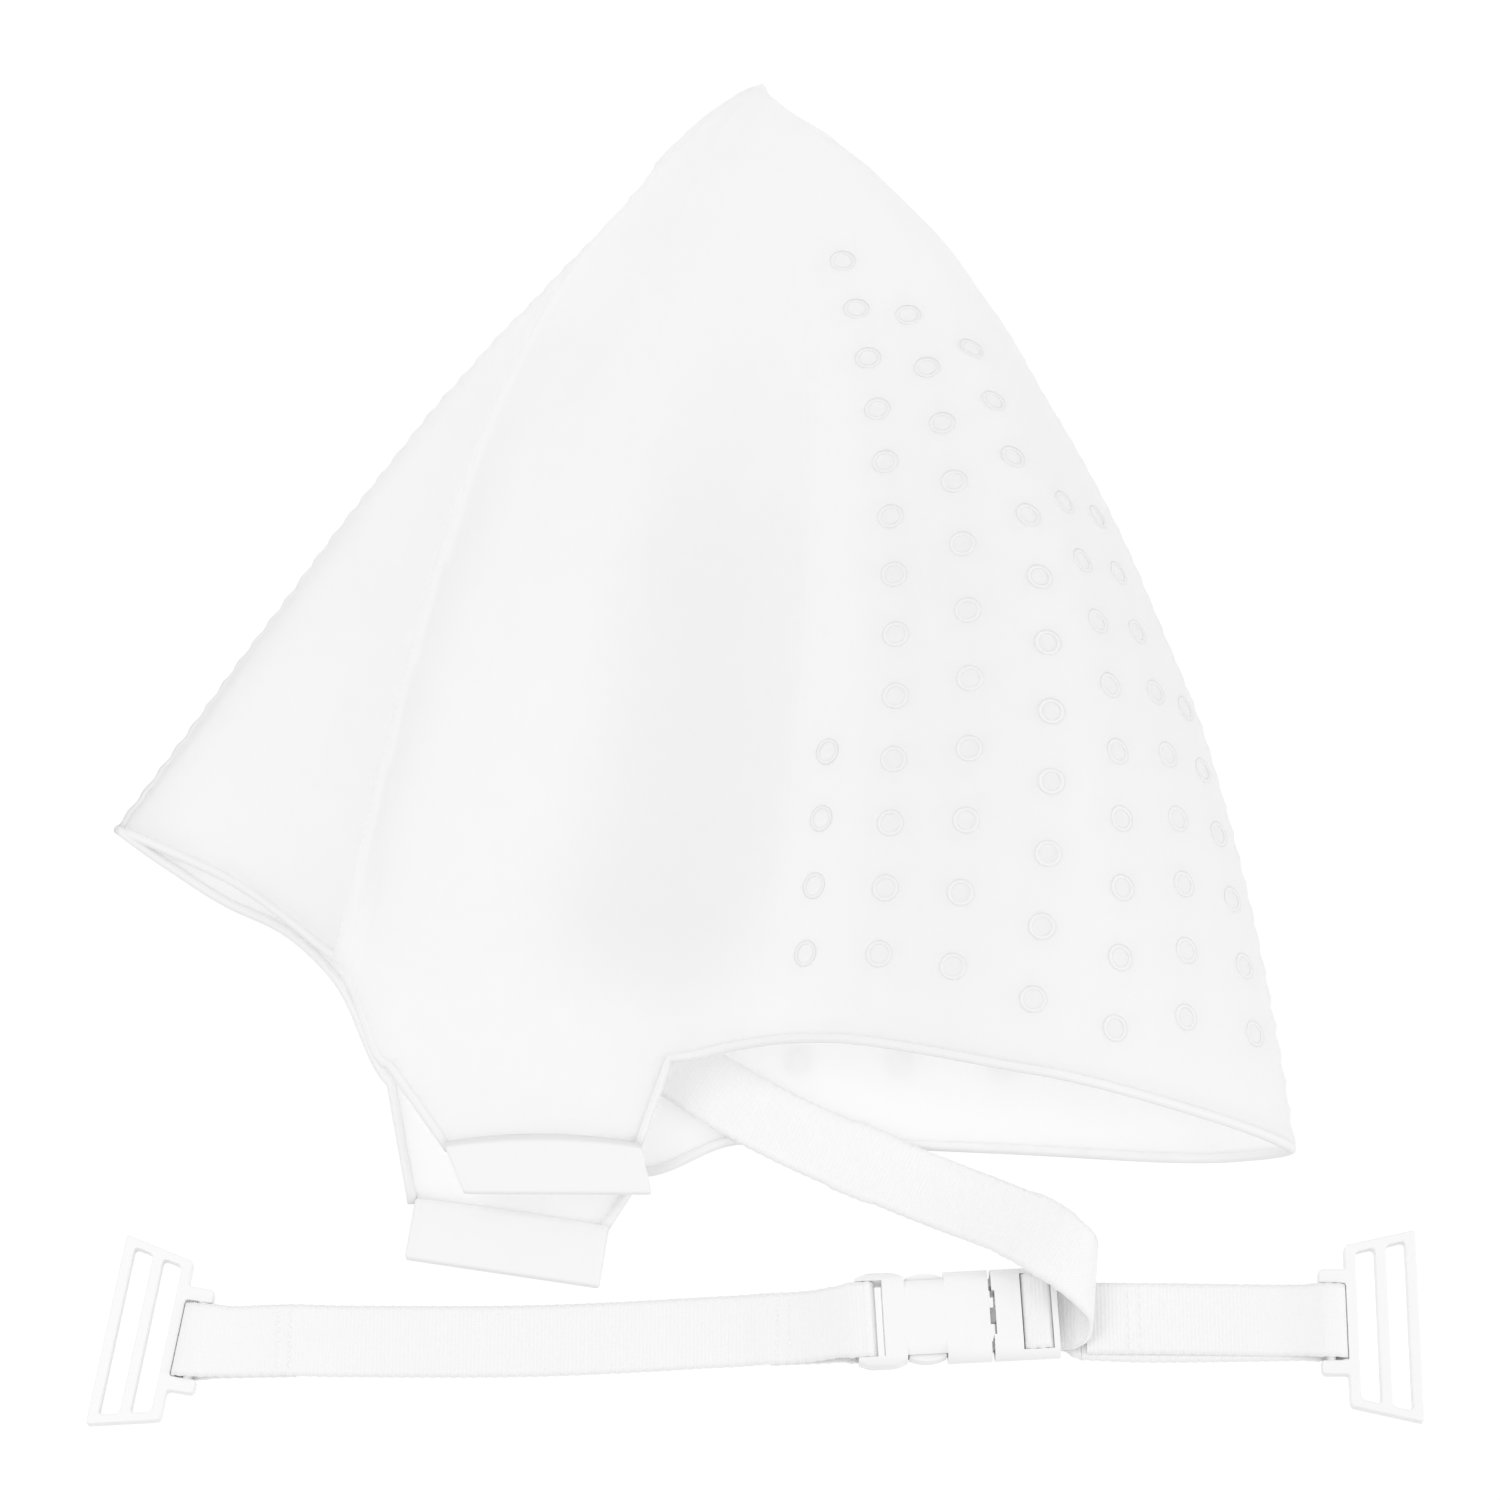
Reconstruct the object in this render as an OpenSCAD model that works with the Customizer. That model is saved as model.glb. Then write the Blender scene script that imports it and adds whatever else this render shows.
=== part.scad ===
// Silicone highlighting cap lying on its side, with its detached chin strap in front of it.
// X runs along the strap, Y from the strap to the crown, Z up from the table. Millimetres.

/* [Cap] */
// Thickness of the silicone skin
cap_wall = 1.2; // [0.8:0.1:1.4]
// Radius of the thickened bead round the opening
bead_r = 1.1; // [0.9:0.1:1.2]
// Radius of a pull-through ring, to the middle of its raised wire
ring_r = 2.9; // [2:0.1:3.4]
// Radius of the raised wire of a ring
ring_wire = 0.55; // [0.4:0.05:0.6]

/* [Ear tabs] */
// Length of a tab, across the flap
tab_w = 40.5; // [36:0.5:44]
// Height of the near tab, along the flap
near_tab_h = 11.2; // [9:0.2:13]
// Height of the far tab, along the flap
far_tab_h = 13.4; // [10:0.2:15]
// Thickness of a tab
tab_t = 3.2; // [2.4:0.1:3.6]

/* [Strap] */
// Width of the webbing
web_w = 15; // [13:0.5:15]
// Thickness of the webbing
web_t = 1; // [0.7:0.05:1]

/* [Slot plates] */
// Thickness of a plate
plate_t = 3.2; // [3:0.1:3.6]
// Length of a plate's outer bar
plate_outer = 40; // [36:0.2:44]
// Length of a plate's inner bar
plate_inner = 33.4; // [30:0.2:35]
// Width of a plate's bars
plate_bar = 2.1; // [2:0.1:2.6]
// Width of a plate's two long slots
plate_slot = 4.2; // [4:0.05:4.6]
// Width of a plate's end bars
plate_end = 1.8; // [1.6:0.1:2.4]
// Turn of the left plate on the table, in degrees
left_plate_turn = 9.5; // [0:0.5:12]
// Turn of the right plate on the table, in degrees
right_plate_turn = 0; // [-4:0.5:4]

/* [Buckle] */
// Width of the buckle
buckle_w = 19; // [18.6:0.2:20]
// Thickness of the buckle
buckle_t = 7; // [7:0.1:8]
// Turn of the buckle on the table, in degrees
buckle_turn = 3; // [0:0.5:5]

/* [Hidden] */
$fn = 32;

silicone = [0.93, 0.93, 0.92];
plastic = [0.96, 0.96, 0.96];
webbing = [0.9, 0.9, 0.89];
thread = [0.97, 0.97, 0.97];

// The cap is lofted through lines that run from the crown to the rim. Each line has its place
// round the rim, the point where it meets the rim, how far it bows to the right of a straight
// line, and its height above the table near the crown, half way down and at the rim. The lines of
// the near ear flap have two more heights, above and below the bend where the flap turns out.
crown = [1.8, 152.4, 6];
// How much the lines open out sideways at the rounded crown, and over what part of their length
crown_opening = 0.025;
crown_part = 0.025;
// How much more the lines bow near the crown than near the rim
side_lean = 0.15;
front_lean = 0.6;
skin_z = ring_wire + 0.05;
near_lines = [
    [0, [111, -94], 26, [9, 14, 9]],
    [24, [93, -92], 24.5, [16, 32, 27]],
    [62, [57, -87], 22.5, [20, 47, 43]],
    [100, [21, -79], 14.5, [21.5, 43, 38]],
    [124, [-2, -75], 8, [21.2, 36, 22]],
    [142, [-18, -76.8], 0, [20.5, 37, 31, 20.5, 17]],
    [168, [-44, -75.6], -6, [18.5, 40, 33, 21.5, 17.5]],
    [198, [-73, -78], -8, [15, 34, 27, 18, 14]]];
far_lines = [
    [372, [-76, -78], -8],
    [402, [-50, -91], -6],
    [430, [-24, -97], 0],
    [454, [-3, -90], 6],
    [508, [51, -92], 18],
    [550, [92, -94], 24.5]];
// The front panel lies low between the front fold and the crease, on both layers. Its lines keep
// to the front fold near the crown and spread towards the rim. Each has its place round the rim,
// its part of the way from the fold to the crease, how far its end is set back from a straight rim,
// and its heights, if it isn't on the table.
front_fold = [[-136, -22], -10];
crease_foot = [-87, -56];
front_lines = [
    [224, 1.02, [0, 0], [10.6, 24, 11]],
    [232, 0.94, [0, 4], [7.6, 6.2, 6]],
    [262, 0.5, [2, 4], [6.6, 5.8, 5.4]],
    [282, 0.2, [1.2, 1.6], [6.2, 5.4, 4.8]],
    [292, 0, [0, 0], [4, 3.2, 2.8]],
    [302, 0.2, [0, 0]],
    [322, 0.5, [0, 0]],
    [348, 0.98, [0, 0]]];
rim_length = 574;

// Ends of the two ear flaps, where they meet their tabs, and the numbers of their first lines
near_flap_end = [[-22, -94.5, 13.6], [-43, -95, 14], [-63, -95, 13]];
far_flap_end = [[-71, -103.5, skin_z], [-51, -106.5, skin_z], [-31.5, -109, skin_z]];
near_flap_line = 5;
far_flap_line = len(near_lines) + len(front_lines);

crown_mark = 0.14;
side_mark = 0.55;
bend_marks = [0.8, 0.92];
// Part of the far layer that rises to the crown
far_dome = 0.06;
// Width of the front panel near the crown, where it starts to spread, and how fast it does
least_spread = 0.1;
spread_start = 0.2;
spread_curve = 1.4;
rows = [0.012, 0.035, 0.07, 0.12, 0.18, 0.25, 0.32, 0.4, 0.48, 0.56, 0.64, 0.72, 0.79, 0.86, 0.92, 0.96, 1];
flap_rows = 3;
column_step = 10;

function unit(v) = v / norm(v);
function mix(a, b, u) = a * (1 - u) + b * u;
function hermite(a, b, slope_a, slope_b, u) =
    a * (2 * u * u * u - 3 * u * u + 1) + slope_a * (u * u * u - 2 * u * u + u)
    + b * (3 * u * u - 2 * u * u * u) + slope_b * (u * u * u - u * u);

// Height along a line: round at the crown, then smooth through the other marks
function marks(h) =
    len(h) == 3 ? [crown_mark, side_mark, 1] : concat([crown_mark, side_mark], bend_marks, [1]);
function mark_slope(h, m, k) =
    let (next = min(k + 1, len(h) - 1))
    k == 0 ? (h[0] - crown.z) / (2 * crown_mark) : (h[next] - h[k - 1]) / (m[next] - m[k - 1]);
function line_z(h, t) =
    let (
        m = marks(h),
        k = max([0, for (i = [0:len(m) - 2]) if (t >= m[i]) i]),
        gap = m[k + 1] - m[k])
    t < crown_mark ? crown.z + (h[0] - crown.z) * sqrt(t / crown_mark)
    : hermite(h[k], h[k + 1], mark_slope(h, m, k) * gap, mark_slope(h, m, k + 1) * gap, (t - m[k]) / gap);
function far_z(t) = skin_z + (crown.z - skin_z) * max(0, 1 - sqrt(t / far_dome));
function crown_spread(t) = crown_opening * (1 - exp(-t / crown_part)) * pow(1 - t, 6);
function bowed(rim, bow, lean, t) =
    let (c = [crown.x, crown.y], along = rim - c, side = unit([-along.y, along.x]))
    c + along * t + [along.x * crown_spread(t), 0]
    + side * bow * 4 * t * (1 - t) * (1 + lean * (1 - 2 * t));
function panel_spread(t) =
    least_spread * min(1, t / spread_start)
    + (1 - least_spread) * pow(max(0, (t - spread_start) / (1 - spread_start)), spread_curve);
function flat(p, z) = [p.x, p.y, z];

// One point on a line
function near_point(l, t) = flat(bowed(l[1], l[2], side_lean, t), line_z(l[3], t));
function far_point(l, t) = flat(bowed(l[1], l[2], side_lean, t), far_z(t));
function front_point(l, t) =
    flat(bowed(front_fold[0], front_fold[1], front_lean, t)
            + ((crease_foot - front_fold[0]) * l[1] + l[2]) * panel_spread(t),
        is_undef(l[3]) ? far_z(t) : line_z(l[3], t));

// All lines at one distance from the crown, with their places round the rim
line_places = concat([for (l = near_lines) l[0]], [for (l = front_lines) l[0]], [for (l = far_lines) l[0]]);
line_count = len(line_places);
function lines_at(t) = concat(
    [for (l = near_lines) near_point(l, t)],
    [for (l = front_lines) front_point(l, t)],
    [for (l = far_lines) far_point(l, t)]);
function place(i) = line_places[(i + line_count) % line_count] + rim_length * floor(i / line_count);
// Slope of the skin across a line, in each direction, held to zero where the skin turns back, so
// that it never swings past a line
function held_slope(before, after, rise_before, rise_after) =
    rise_before * rise_after <= 0 ? 0
    : 3 * (before + after)
        / ((2 * after + before) / (rise_before / before) + (after + 2 * before) / (rise_after / after));
function slope(ring, i) =
    let (
        a = ring[(i - 1 + line_count) % line_count],
        b = ring[i % line_count],
        c = ring[(i + 1) % line_count],
        before = place(i) - place(i - 1),
        after = place(i + 1) - place(i))
    [for (k = [0:2]) held_slope(before, after, b[k] - a[k], c[k] - b[k])];
function on_ring(ring, i, u) =
    let (
        gap = place(i + 1) - place(i),
        p = hermite(ring[i], ring[(i + 1) % line_count], slope(ring, i) * gap, slope(ring, i + 1) * gap, u))
    [p.x, p.y, max(p.z, skin_z)];

// Columns of the skin: each is a line's number and the part of the way to the next line
columns = [for (i = [0:line_count - 1])
    let (n = max(2, ceil((place(i + 1) - place(i)) / column_step)))
    for (s = [0:n - 1]) [i, s / n]];
column_count = len(columns);
function column_of(line) = [for (j = [0:column_count - 1]) if (columns[j] == [line, 0]) j][0];
near_flap = [column_of(near_flap_line), column_of(near_flap_line + 2)];
far_flap = [column_of(far_flap_line), column_of(far_flap_line + 2)];
row_count = len(rows);
last_row = row_count + flap_rows;
// Outer and inner grid of the skin. The inner one starts below the solid crown, with a point on top.
solid_crown = 0.16;
cavity_top = 0.07;
grids = [for (start = [0, solid_crown]) [for (t = rows)
    let (ring = lines_at(mix(start, 1, t)))
    [for (c = columns) on_ring(ring, c[0], c[1])]]];
function average(points) = [for (p = points) 1] * points / len(points);
tops = [crown, average(lines_at(cavity_top))];

function in_flap(j, flap) = j >= flap[0] && j <= flap[1];
function has_point(i, j) =
    i <= row_count || (i <= last_row && (in_flap(j, near_flap) || in_flap(j, far_flap)));
function three_way(p, u) = u < 1 ? mix(p[0], p[1], u) : mix(p[1], p[2], u - 1);
function flap_end(j) =
    in_flap(j, near_flap) ? three_way(near_flap_end, columns[j][0] - near_flap_line + columns[j][1])
    : three_way(far_flap_end, columns[j][0] - far_flap_line + columns[j][1]);
// Points of a grid: row 0 is its top, rows past the rim are in a flap
function grid_point(i, k, layer) =
    let (j = (k + column_count) % column_count)
    i == 0 ? tops[layer]
    : i <= row_count ? grids[layer][i - 1][j]
    : mix(grids[layer][row_count - 1][j], flap_end(j), (i - row_count) / flap_rows);
function inward(i, j, layer) =
    let (
        down = has_point(i + 1, j) ? i + 1 : i,
        up = max(i - 1, 1),
        on = i <= row_count || has_point(i, j + 1) ? j + 1 : j,
        back = i <= row_count || has_point(i, j - 1) ? j - 1 : j)
    unit(cross(grid_point(down, j, layer) - grid_point(up, j, layer),
        grid_point(i, on, layer) - grid_point(i, back, layer)));
function skin_at(i, j, layer, depth) =
    grid_point(i, j, layer) + (i == 0 ? [0, 0, 0] : inward(i, j, layer) * depth);

// Numbering of the skin's points, outer ones first
near_width = near_flap[1] - near_flap[0] + 1;
far_width = far_flap[1] - far_flap[0] + 1;
layer_points = 1 + row_count * column_count + flap_rows * (near_width + far_width);
function point_number(i, k, layer) =
    let (j = (k + column_count) % column_count, base = layer * layer_points)
    i == 0 ? base
    : i <= row_count ? base + 1 + (i - 1) * column_count + j
    : in_flap(j, near_flap) ?
        base + 1 + row_count * column_count + (i - row_count - 1) * near_width + j - near_flap[0]
    : base + 1 + row_count * column_count + flap_rows * near_width
        + (i - row_count - 1) * far_width + j - far_flap[0];
skin_order = concat(
    [[0, 0]],
    [for (i = [1:row_count]) for (j = [0:column_count - 1]) [i, j]],
    [for (i = [row_count + 1:last_row]) for (j = [near_flap[0]:near_flap[1]]) [i, j]],
    [for (i = [row_count + 1:last_row]) for (j = [far_flap[0]:far_flap[1]]) [i, j]]);
function in_flap_cell(j) =
    (j >= near_flap[0] && j < near_flap[1]) || (j >= far_flap[0] && j < far_flap[1]);
function has_cell(i, j) = i < row_count || (i < last_row && in_flap_cell(j));
function quad(a, b, c, d) = [[a, b, c], [a, c, d]];
function flipped(faces) = [for (f = faces) [f[2], f[1], f[0]]];
function cell(i, j, layer) =
    i == 0 ? [[point_number(0, 0, layer), point_number(1, j, layer), point_number(1, j + 1, layer)]]
    : quad(point_number(i, j, layer), point_number(i + 1, j, layer),
        point_number(i + 1, j + 1, layer), point_number(i, j + 1, layer));
function edge(i, j, k, l) = quad(point_number(i, j, 0), point_number(i, j, 1),
    point_number(k, l, 1), point_number(k, l, 0));
cells = [for (i = [0:last_row - 1]) for (j = [0:column_count - 1]) if (has_cell(i, j)) [i, j]];
skin_faces = concat(
    [for (c = cells) for (f = cell(c[0], c[1], 0)) f],
    [for (c = cells) for (f = flipped(cell(c[0], c[1], 1))) f],
    [for (c = cells) if (!has_cell(c[0] + 1, c[1])) for (f = edge(c[0] + 1, c[1], c[0] + 1, c[1] + 1)) f],
    [for (c = cells) if (c[0] >= row_count && !has_cell(c[0], c[1] - 1))
        for (f = edge(c[0], c[1], c[0] + 1, c[1])) f],
    [for (c = cells) if (c[0] >= row_count && !has_cell(c[0], c[1] + 1))
        for (f = edge(c[0] + 1, c[1] + 1, c[0], c[1] + 1)) f]);

// The bead runs from each near tab round the rim to the far tab, once by the front, once by the back
front_edge = concat(
    [for (i = [last_row:-1:row_count + 1]) [i, near_flap[1]]],
    [for (j = [near_flap[1]:far_flap[0]]) [row_count, j]],
    [for (i = [row_count + 1:last_row]) [i, far_flap[0]]]);
back_edge = concat(
    [for (i = [last_row:-1:row_count + 1]) [i, near_flap[0]]],
    [for (j = [near_flap[0]:-1:far_flap[1] - column_count]) [row_count, (j + column_count) % column_count]],
    [for (i = [row_count + 1:last_row]) [i, far_flap[1]]]);
bead_sides = 6;

// Columns of rings on the back half, near layer first: the place of the first and of the last ring
// between the lines, their distance from the crown, and the number of rings
ring_columns = [
    [[0.45, 0.664], [0.5, 0.925], 6],
    [[0.7, 0.5], [1.15, 0.93], 9],
    [[1.25, 0.5], [1.6, 0.955], 9],
    [[1.67, 0.345], [2.07, 0.945], 11],
    [[2.33, 0.304], [2.53, 0.928], 11],
    [[2.9, 0.29], [2.95, 0.925], 12],
    [[3.6, 0.743], [3.6, 0.925], 4],
    [[21.3, 0.5], [21.3, 0.925], 8],
    [[20.85, 0.42], [20.85, 0.93], 9],
    [[20.4, 0.35], [20.4, 0.93], 10],
    [[20, 0.3], [20, 0.93], 11],
    [[19.6, 0.3], [19.6, 0.93], 11],
    [[19.2, 0.62], [19.2, 0.93], 5]];
function skin_point(place, t) = on_ring(lines_at(t), floor(place), place - floor(place));
function skin_out(place, t) =
    let (d = 0.02)
    unit(cross(skin_point(place + d, t) - skin_point(place - d, t),
        skin_point(place, t + d) - skin_point(place, t - d)));

// Strap: where the plates' neck bars and the buckle lie
neck_bar_r = 1;
neck_z = plate_t - neck_bar_r;
left_neck = [-114.7, -132.75, neck_z];
right_neck = [117.3, -128.8, neck_z];
neck_reach = 3.6;
neck_arm = 2.9;
arm_end = 1.9;
neck_half = web_w / 2 + 0.5;
bar_half = web_w / 2 + 0.4;
plate_depth = 3 * plate_bar + 2 * plate_slot;
buckle_at = [47.9, -127.8];
bar_r = 1.3;
fit_gap = 0.2;
socket_bar = [-26, buckle_t / 2];
adjuster_bar = [9.4, 4.2];
function on_buckle(x, z) = [buckle_at.x + x * cos(buckle_turn), buckle_at.y + x * sin(buckle_turn), z];
across = [0, 1, 0];
left_across = [sin(left_plate_turn), cos(left_plate_turn), 0];
right_across = [-sin(right_plate_turn), cos(right_plate_turn), 0];
buckle_across = [-sin(buckle_turn), cos(buckle_turn), 0];

// Webbing: middle line and width direction at each station. Laid flat, its middle is web_flat high.
web_flat = web_t / 2 + 0.05;
web_second = web_flat + web_t + 0.13;
neck_loop = neck_bar_r + (neck_z - neck_bar_r - 0.05 - web_t) + web_t / 2;
bar_loop = bar_r + fit_gap + web_t / 2;
// How far the loose loops reach past the neck bars, and how far they lie aside from their middle
loop_slack = 1;
left_aside = -0.2;
right_aside = 0.1;
left_loop = left_neck + loop_slack * [-left_across.y, left_across.x, 0] + left_aside * left_across;
right_loop = right_neck + loop_slack * [right_across.y, -right_across.x, 0] + right_aside * right_across;
function turn(c, r, side, angles) =
    [for (a = angles) [c + r * [cos(a) * side.y, -cos(a) * side.x, sin(a)], side]];
function bar_turn(bar, angles) =
    [for (a = angles) [on_buckle(bar.x + bar_loop * cos(a), bar.y + bar_loop * sin(a)), buckle_across]];
left_route = concat(
    [[[-94, -132.4, web_flat], across], [[-103, -132.6, web_flat], unit([0.08, 1, 0])],
        [[-108, -132.8, web_flat], left_across], [[-112, -132.9, web_flat], left_across]],
    turn(left_loop, neck_loop, left_across, [270:-30:90]),
    [[[-113.5, -132.86, neck_z + neck_loop], left_across], [[-111.4, -132.9, 3.2], left_across],
        [[-107.4, -132.8, 2.1], left_across],
        [[-103, -132.6, web_second], unit([0.08, 1, 0])], [[-95, -132.4, web_second], across],
        [[-90, -132.4, 1.1], across], [[-86, -132.4, web_flat], across],
        [[-60, -132.5, web_flat], across], [[-44, -132.3, web_flat], across],
        [[-27, -131.6, web_flat], across], [[-10, -130.6, web_flat], across],
        [[-3, -130.3, 0.8], across], [[2, -130.1, web_second], across],
        [[7, -129.9, web_second + 0.1], across], [[11, -129.8, 2.5], across],
        [[16, -129.5, 4], buckle_across], [[19.3, -129.3, 5.1], buckle_across]],
    bar_turn(socket_bar, [90:-30:-90]),
    [[[18, -129.4, 1.1], buckle_across], [[13, -129.7, 0.65], across],
        [[7, -129.9, web_flat], across], [[3, -130.1, web_flat], across]]);
right_loop_route = concat(
    [[[66.5, -128.9, web_flat], across], [[80, -129.4, web_flat], across], [[113, -129, web_flat], across]],
    turn(right_loop, neck_loop, right_across, [270:30:450]),
    [[[116.1, -128.65, neck_z + neck_loop], right_across], [[114, -128.6, 3.2], across],
        [[110, -128.4, 2.1], across], [[106, -128.3, web_second], across],
        [[85, -128, web_second], across], [[67.5, -127.9, web_second], across]]);
right_route = concat(
    [[[66.2, -128.8, web_flat], across], [[64.6, -128.2, web_flat], across]],
    [for (x = [14.6, 12.4]) [on_buckle(x, web_flat), buckle_across]],
    [[on_buckle(10.8, 0.9), buckle_across]],
    bar_turn(adjuster_bar, [240, 210, 180, 150, 120, 100]));
tail_route = concat(
    bar_turn(adjuster_bar, [90:-30:0]),
    [[on_buckle(11.7, 3), buckle_across], [on_buckle(12.2, 2.25), buckle_across],
        [on_buckle(13.2, 1.95), buckle_across], [on_buckle(14.6, 1.9), buckle_across],
        [[65, -127, 2.4], across], [[68, -125.5, 4.6], unit([0.05, 1, 0])],
        [[68.6, -122.5, 8], unit([0.1, 1, 0])], [[66.4, -119.5, 11.2], unit([0.35, 0.94, 0])],
        [[62, -116, 12.2], unit([0.55, 0.83, 0])], [[56.5, -111.8, 11], unit([0.6, 0.8, 0])],
        [[50.5, -108, 8.6], unit([0.55, 0.83, 0])], [[40, -102, 5.4], unit([0.5, 0.87, 0])],
        [[26, -94.5, 4], unit([0.46, 0.89, 0])], [[9, -86, 3.6], unit([0.45, 0.9, 0])],
        [[-7, -78.6, 3.6], unit([0.43, 0.9, 0])], [[-18.5, -73.2, 3.6], unit([0.43, 0.9, 0])]]);

// A flat band along a route of stations
module band(route) {
    n = len(route);
    corners = [for (i = [0:n - 1])
        let (
            along = route[min(i + 1, n - 1)][0] - route[max(i - 1, 0)][0],
            up = unit(cross(along, route[i][1])) * web_t / 2,
            side = route[i][1] * web_w / 2)
        for (c = [-side - up, side - up, side + up, -side + up]) route[i][0] + c];
    sides = [for (i = [0:n - 2]) for (k = [0:3])
        for (f = quad(4 * i + k, 4 * i + (k + 1) % 4, 4 * i + 4 + (k + 1) % 4, 4 * i + 4 + k)) f];
    last = 4 * (n - 1);
    polyhedron(corners, flipped(concat(sides, quad(3, 2, 1, 0), quad(last, last + 1, last + 2, last + 3))));
}

// A round cord along points of the skin's edge
module edge_bead(edge_points) {
    n = len(edge_points);
    path = [for (e = edge_points) skin_at(e[0], e[1], 0, cap_wall / 2)];
    corners = [for (i = [0:n - 1])
        let (
            along = unit(path[min(i + 1, n - 1)] - path[max(i - 1, 0)]),
            first = inward(edge_points[i][0], edge_points[i][1], 0),
            out = unit(first - along * (first * along)),
            side = cross(along, out))
        for (k = [0:bead_sides - 1])
            path[i] + bead_r * (out * cos(360 * k / bead_sides) + side * sin(360 * k / bead_sides))];
    sides = [for (i = [0:n - 2]) for (k = [0:bead_sides - 1])
        let (a = bead_sides * i + k, b = bead_sides * i + (k + 1) % bead_sides)
        for (f = quad(a, b, b + bead_sides, a + bead_sides)) f];
    caps = [[for (k = [bead_sides - 1:-1:0]) k], [for (k = [0:bead_sides - 1]) bead_sides * (n - 1) + k]];
    polyhedron(corners, [for (f = concat(sides, caps)) [for (k = [len(f) - 1:-1:0]) f[k]]]);
}

module cap_shell() {
    points = concat(
        [for (s = skin_order) skin_at(s[0], s[1], 0, 0)],
        [for (s = skin_order) skin_at(s[0], s[1], 1, cap_wall)]);
    color(silicone) polyhedron(points, skin_faces);
}

module rim_bead() {
    color(silicone) {
        edge_bead(front_edge);
        edge_bead(back_edge);
    }
}

module ring_at(spot) {
    out = skin_out(spot[0], spot[1]);
    translate(skin_point(spot[0], spot[1]))
        rotate([0, acos(out.z), atan2(out.y, out.x)])
            rotate_extrude($fn = 24)
                translate([ring_r, 0])
                    circle(ring_wire, $fn = 16);
}

module hole_rings() {
    color(silicone)
        for (c = ring_columns) for (k = [0:c[2] - 1])
            ring_at(mix(c[0], c[1], k / (c[2] - 1)));
}

// A tab is a flat bar with rounded corners
module tab(h) {
    corner = 1.5;
    for (x = [-1, 1]) for (y = [-1, 1])
        translate([x * (tab_w / 2 - corner), y * (h / 2 - corner), -tab_t / 2])
            cylinder(tab_t, corner, corner);
    translate([-tab_w / 2, corner - h / 2, -tab_t / 2])
        cube([tab_w, h - 2 * corner, tab_t]);
    translate([corner - tab_w / 2, -h / 2, -tab_t / 2])
        cube([tab_w - 2 * corner, h, tab_t]);
}

module near_ear_tab() {
    color(silicone)
        translate([-42, -98.8, 12.6])
            rotate([8, 1, 1])
                tab(near_tab_h);
}

module far_ear_tab() {
    color(silicone)
        translate([-51.3, -111.8, tab_t / 2])
            rotate([0, 0, -8.6])
                tab(far_tab_h);
}

// A plate lies along +X from its neck bar, with the bar's middle at the origin
module slot_plate() {
    far_u = neck_reach + plate_depth;
    function half_at(u) = mix(plate_inner, plate_outer, (u - neck_reach) / plate_depth) / 2;
    first_slot = neck_reach + plate_bar;
    second_slot = first_slot + plate_slot + plate_bar;
    translate([0, 0, -neck_z]) difference() {
        linear_extrude(plate_t)
            polygon([[neck_reach, -plate_inner / 2], [far_u, -plate_outer / 2],
                [far_u, plate_outer / 2], [neck_reach, plate_inner / 2]]);
        for (u = [first_slot, second_slot])
            translate([0, 0, -1])
                linear_extrude(plate_t + 2)
                    polygon([[u, plate_end - half_at(u)],
                        [u + plate_slot, plate_end - half_at(u + plate_slot)],
                        [u + plate_slot, half_at(u + plate_slot) - plate_end],
                        [u, half_at(u) - plate_end]]);
    }
    for (side = [-1, 1])
        translate([-arm_end, side * (neck_half + neck_arm / 2) - neck_arm / 2, -neck_z])
            cube([neck_reach + arm_end + 0.5, neck_arm, plate_t]);
    rotate([90, 0, 0])
        cylinder(2 * neck_half + 1, neck_bar_r, neck_bar_r, center = true);
}

module left_slot_plate() {
    color(plastic)
        translate(left_neck)
            rotate(180 - left_plate_turn)
                slot_plate();
}

module right_slot_plate() {
    color(plastic)
        translate(right_neck)
            rotate(right_plate_turn)
                slot_plate();
}

module left_strap() {
    color(webbing) band(left_route);
}

module right_strap() {
    color(webbing) band(right_route);
}

module right_plate_loop() {
    color(webbing) band(right_loop_route);
}

module strap_tail() {
    color(webbing) band(tail_route);
}

// Two rows of thread across both layers of a sewn loop
module stitch_rows(at) {
    stitches = 6;
    pitch = 2.1;
    thread_w = 0.5;
    for (row = [0, 2.5]) for (k = [0:stitches - 1])
        translate([at.x + row, at.y + (k - (stitches - 1) / 2) * pitch - 0.7, 0.1])
            cube([thread_w, 1.4, web_second + web_t / 2]);
}

module left_plate_stitching() {
    color(thread) stitch_rows([-98, -132.4]);
}

module socket_stitching() {
    color(thread) stitch_rows([4, -130]);
}

module right_plate_stitching() {
    color(thread) stitch_rows([76, -128.5]);
}

// A bar along X with half-round sides, lying on the table
module round_sided(x0, x1, width) {
    r = buckle_t / 2;
    for (side = [-1, 1])
        translate([x0, side * (width / 2 - r), r])
            rotate([0, 90, 0])
                cylinder(x1 - x0, r, r);
    translate([x0, r - width / 2, 0])
        cube([x1 - x0, width - 2 * r, buckle_t]);
}

module slab(x0, x1, half, z0, z1) {
    translate([x0, -half, z0])
        cube([x1 - x0, 2 * half, z1 - z0]);
}

module cross_bar(at, half, r) {
    translate([at.x, 0, at.y])
        rotate([90, 0, 0])
            cylinder(2 * half, r, r, center = true);
}

module placed_buckle() {
    translate([buckle_at.x, buckle_at.y, 0])
        rotate(buckle_turn)
            children();
}

// Places along the buckle, from the gap between its two halves
half_gap = 0.3;
rail_end = -9.3;
window_end = -17.5;
socket_end = -27.5;
lobe_w = 20;
lobe_r = 8.6;
floor_t = 1.3;
chamber_half = buckle_w / 2 - 1.5;
chamber_end = -18.3;
waist_w = 17;
plug_end = 13.6;
plug_wall = 6.2;
plug_slot_end = 12.4;
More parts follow.
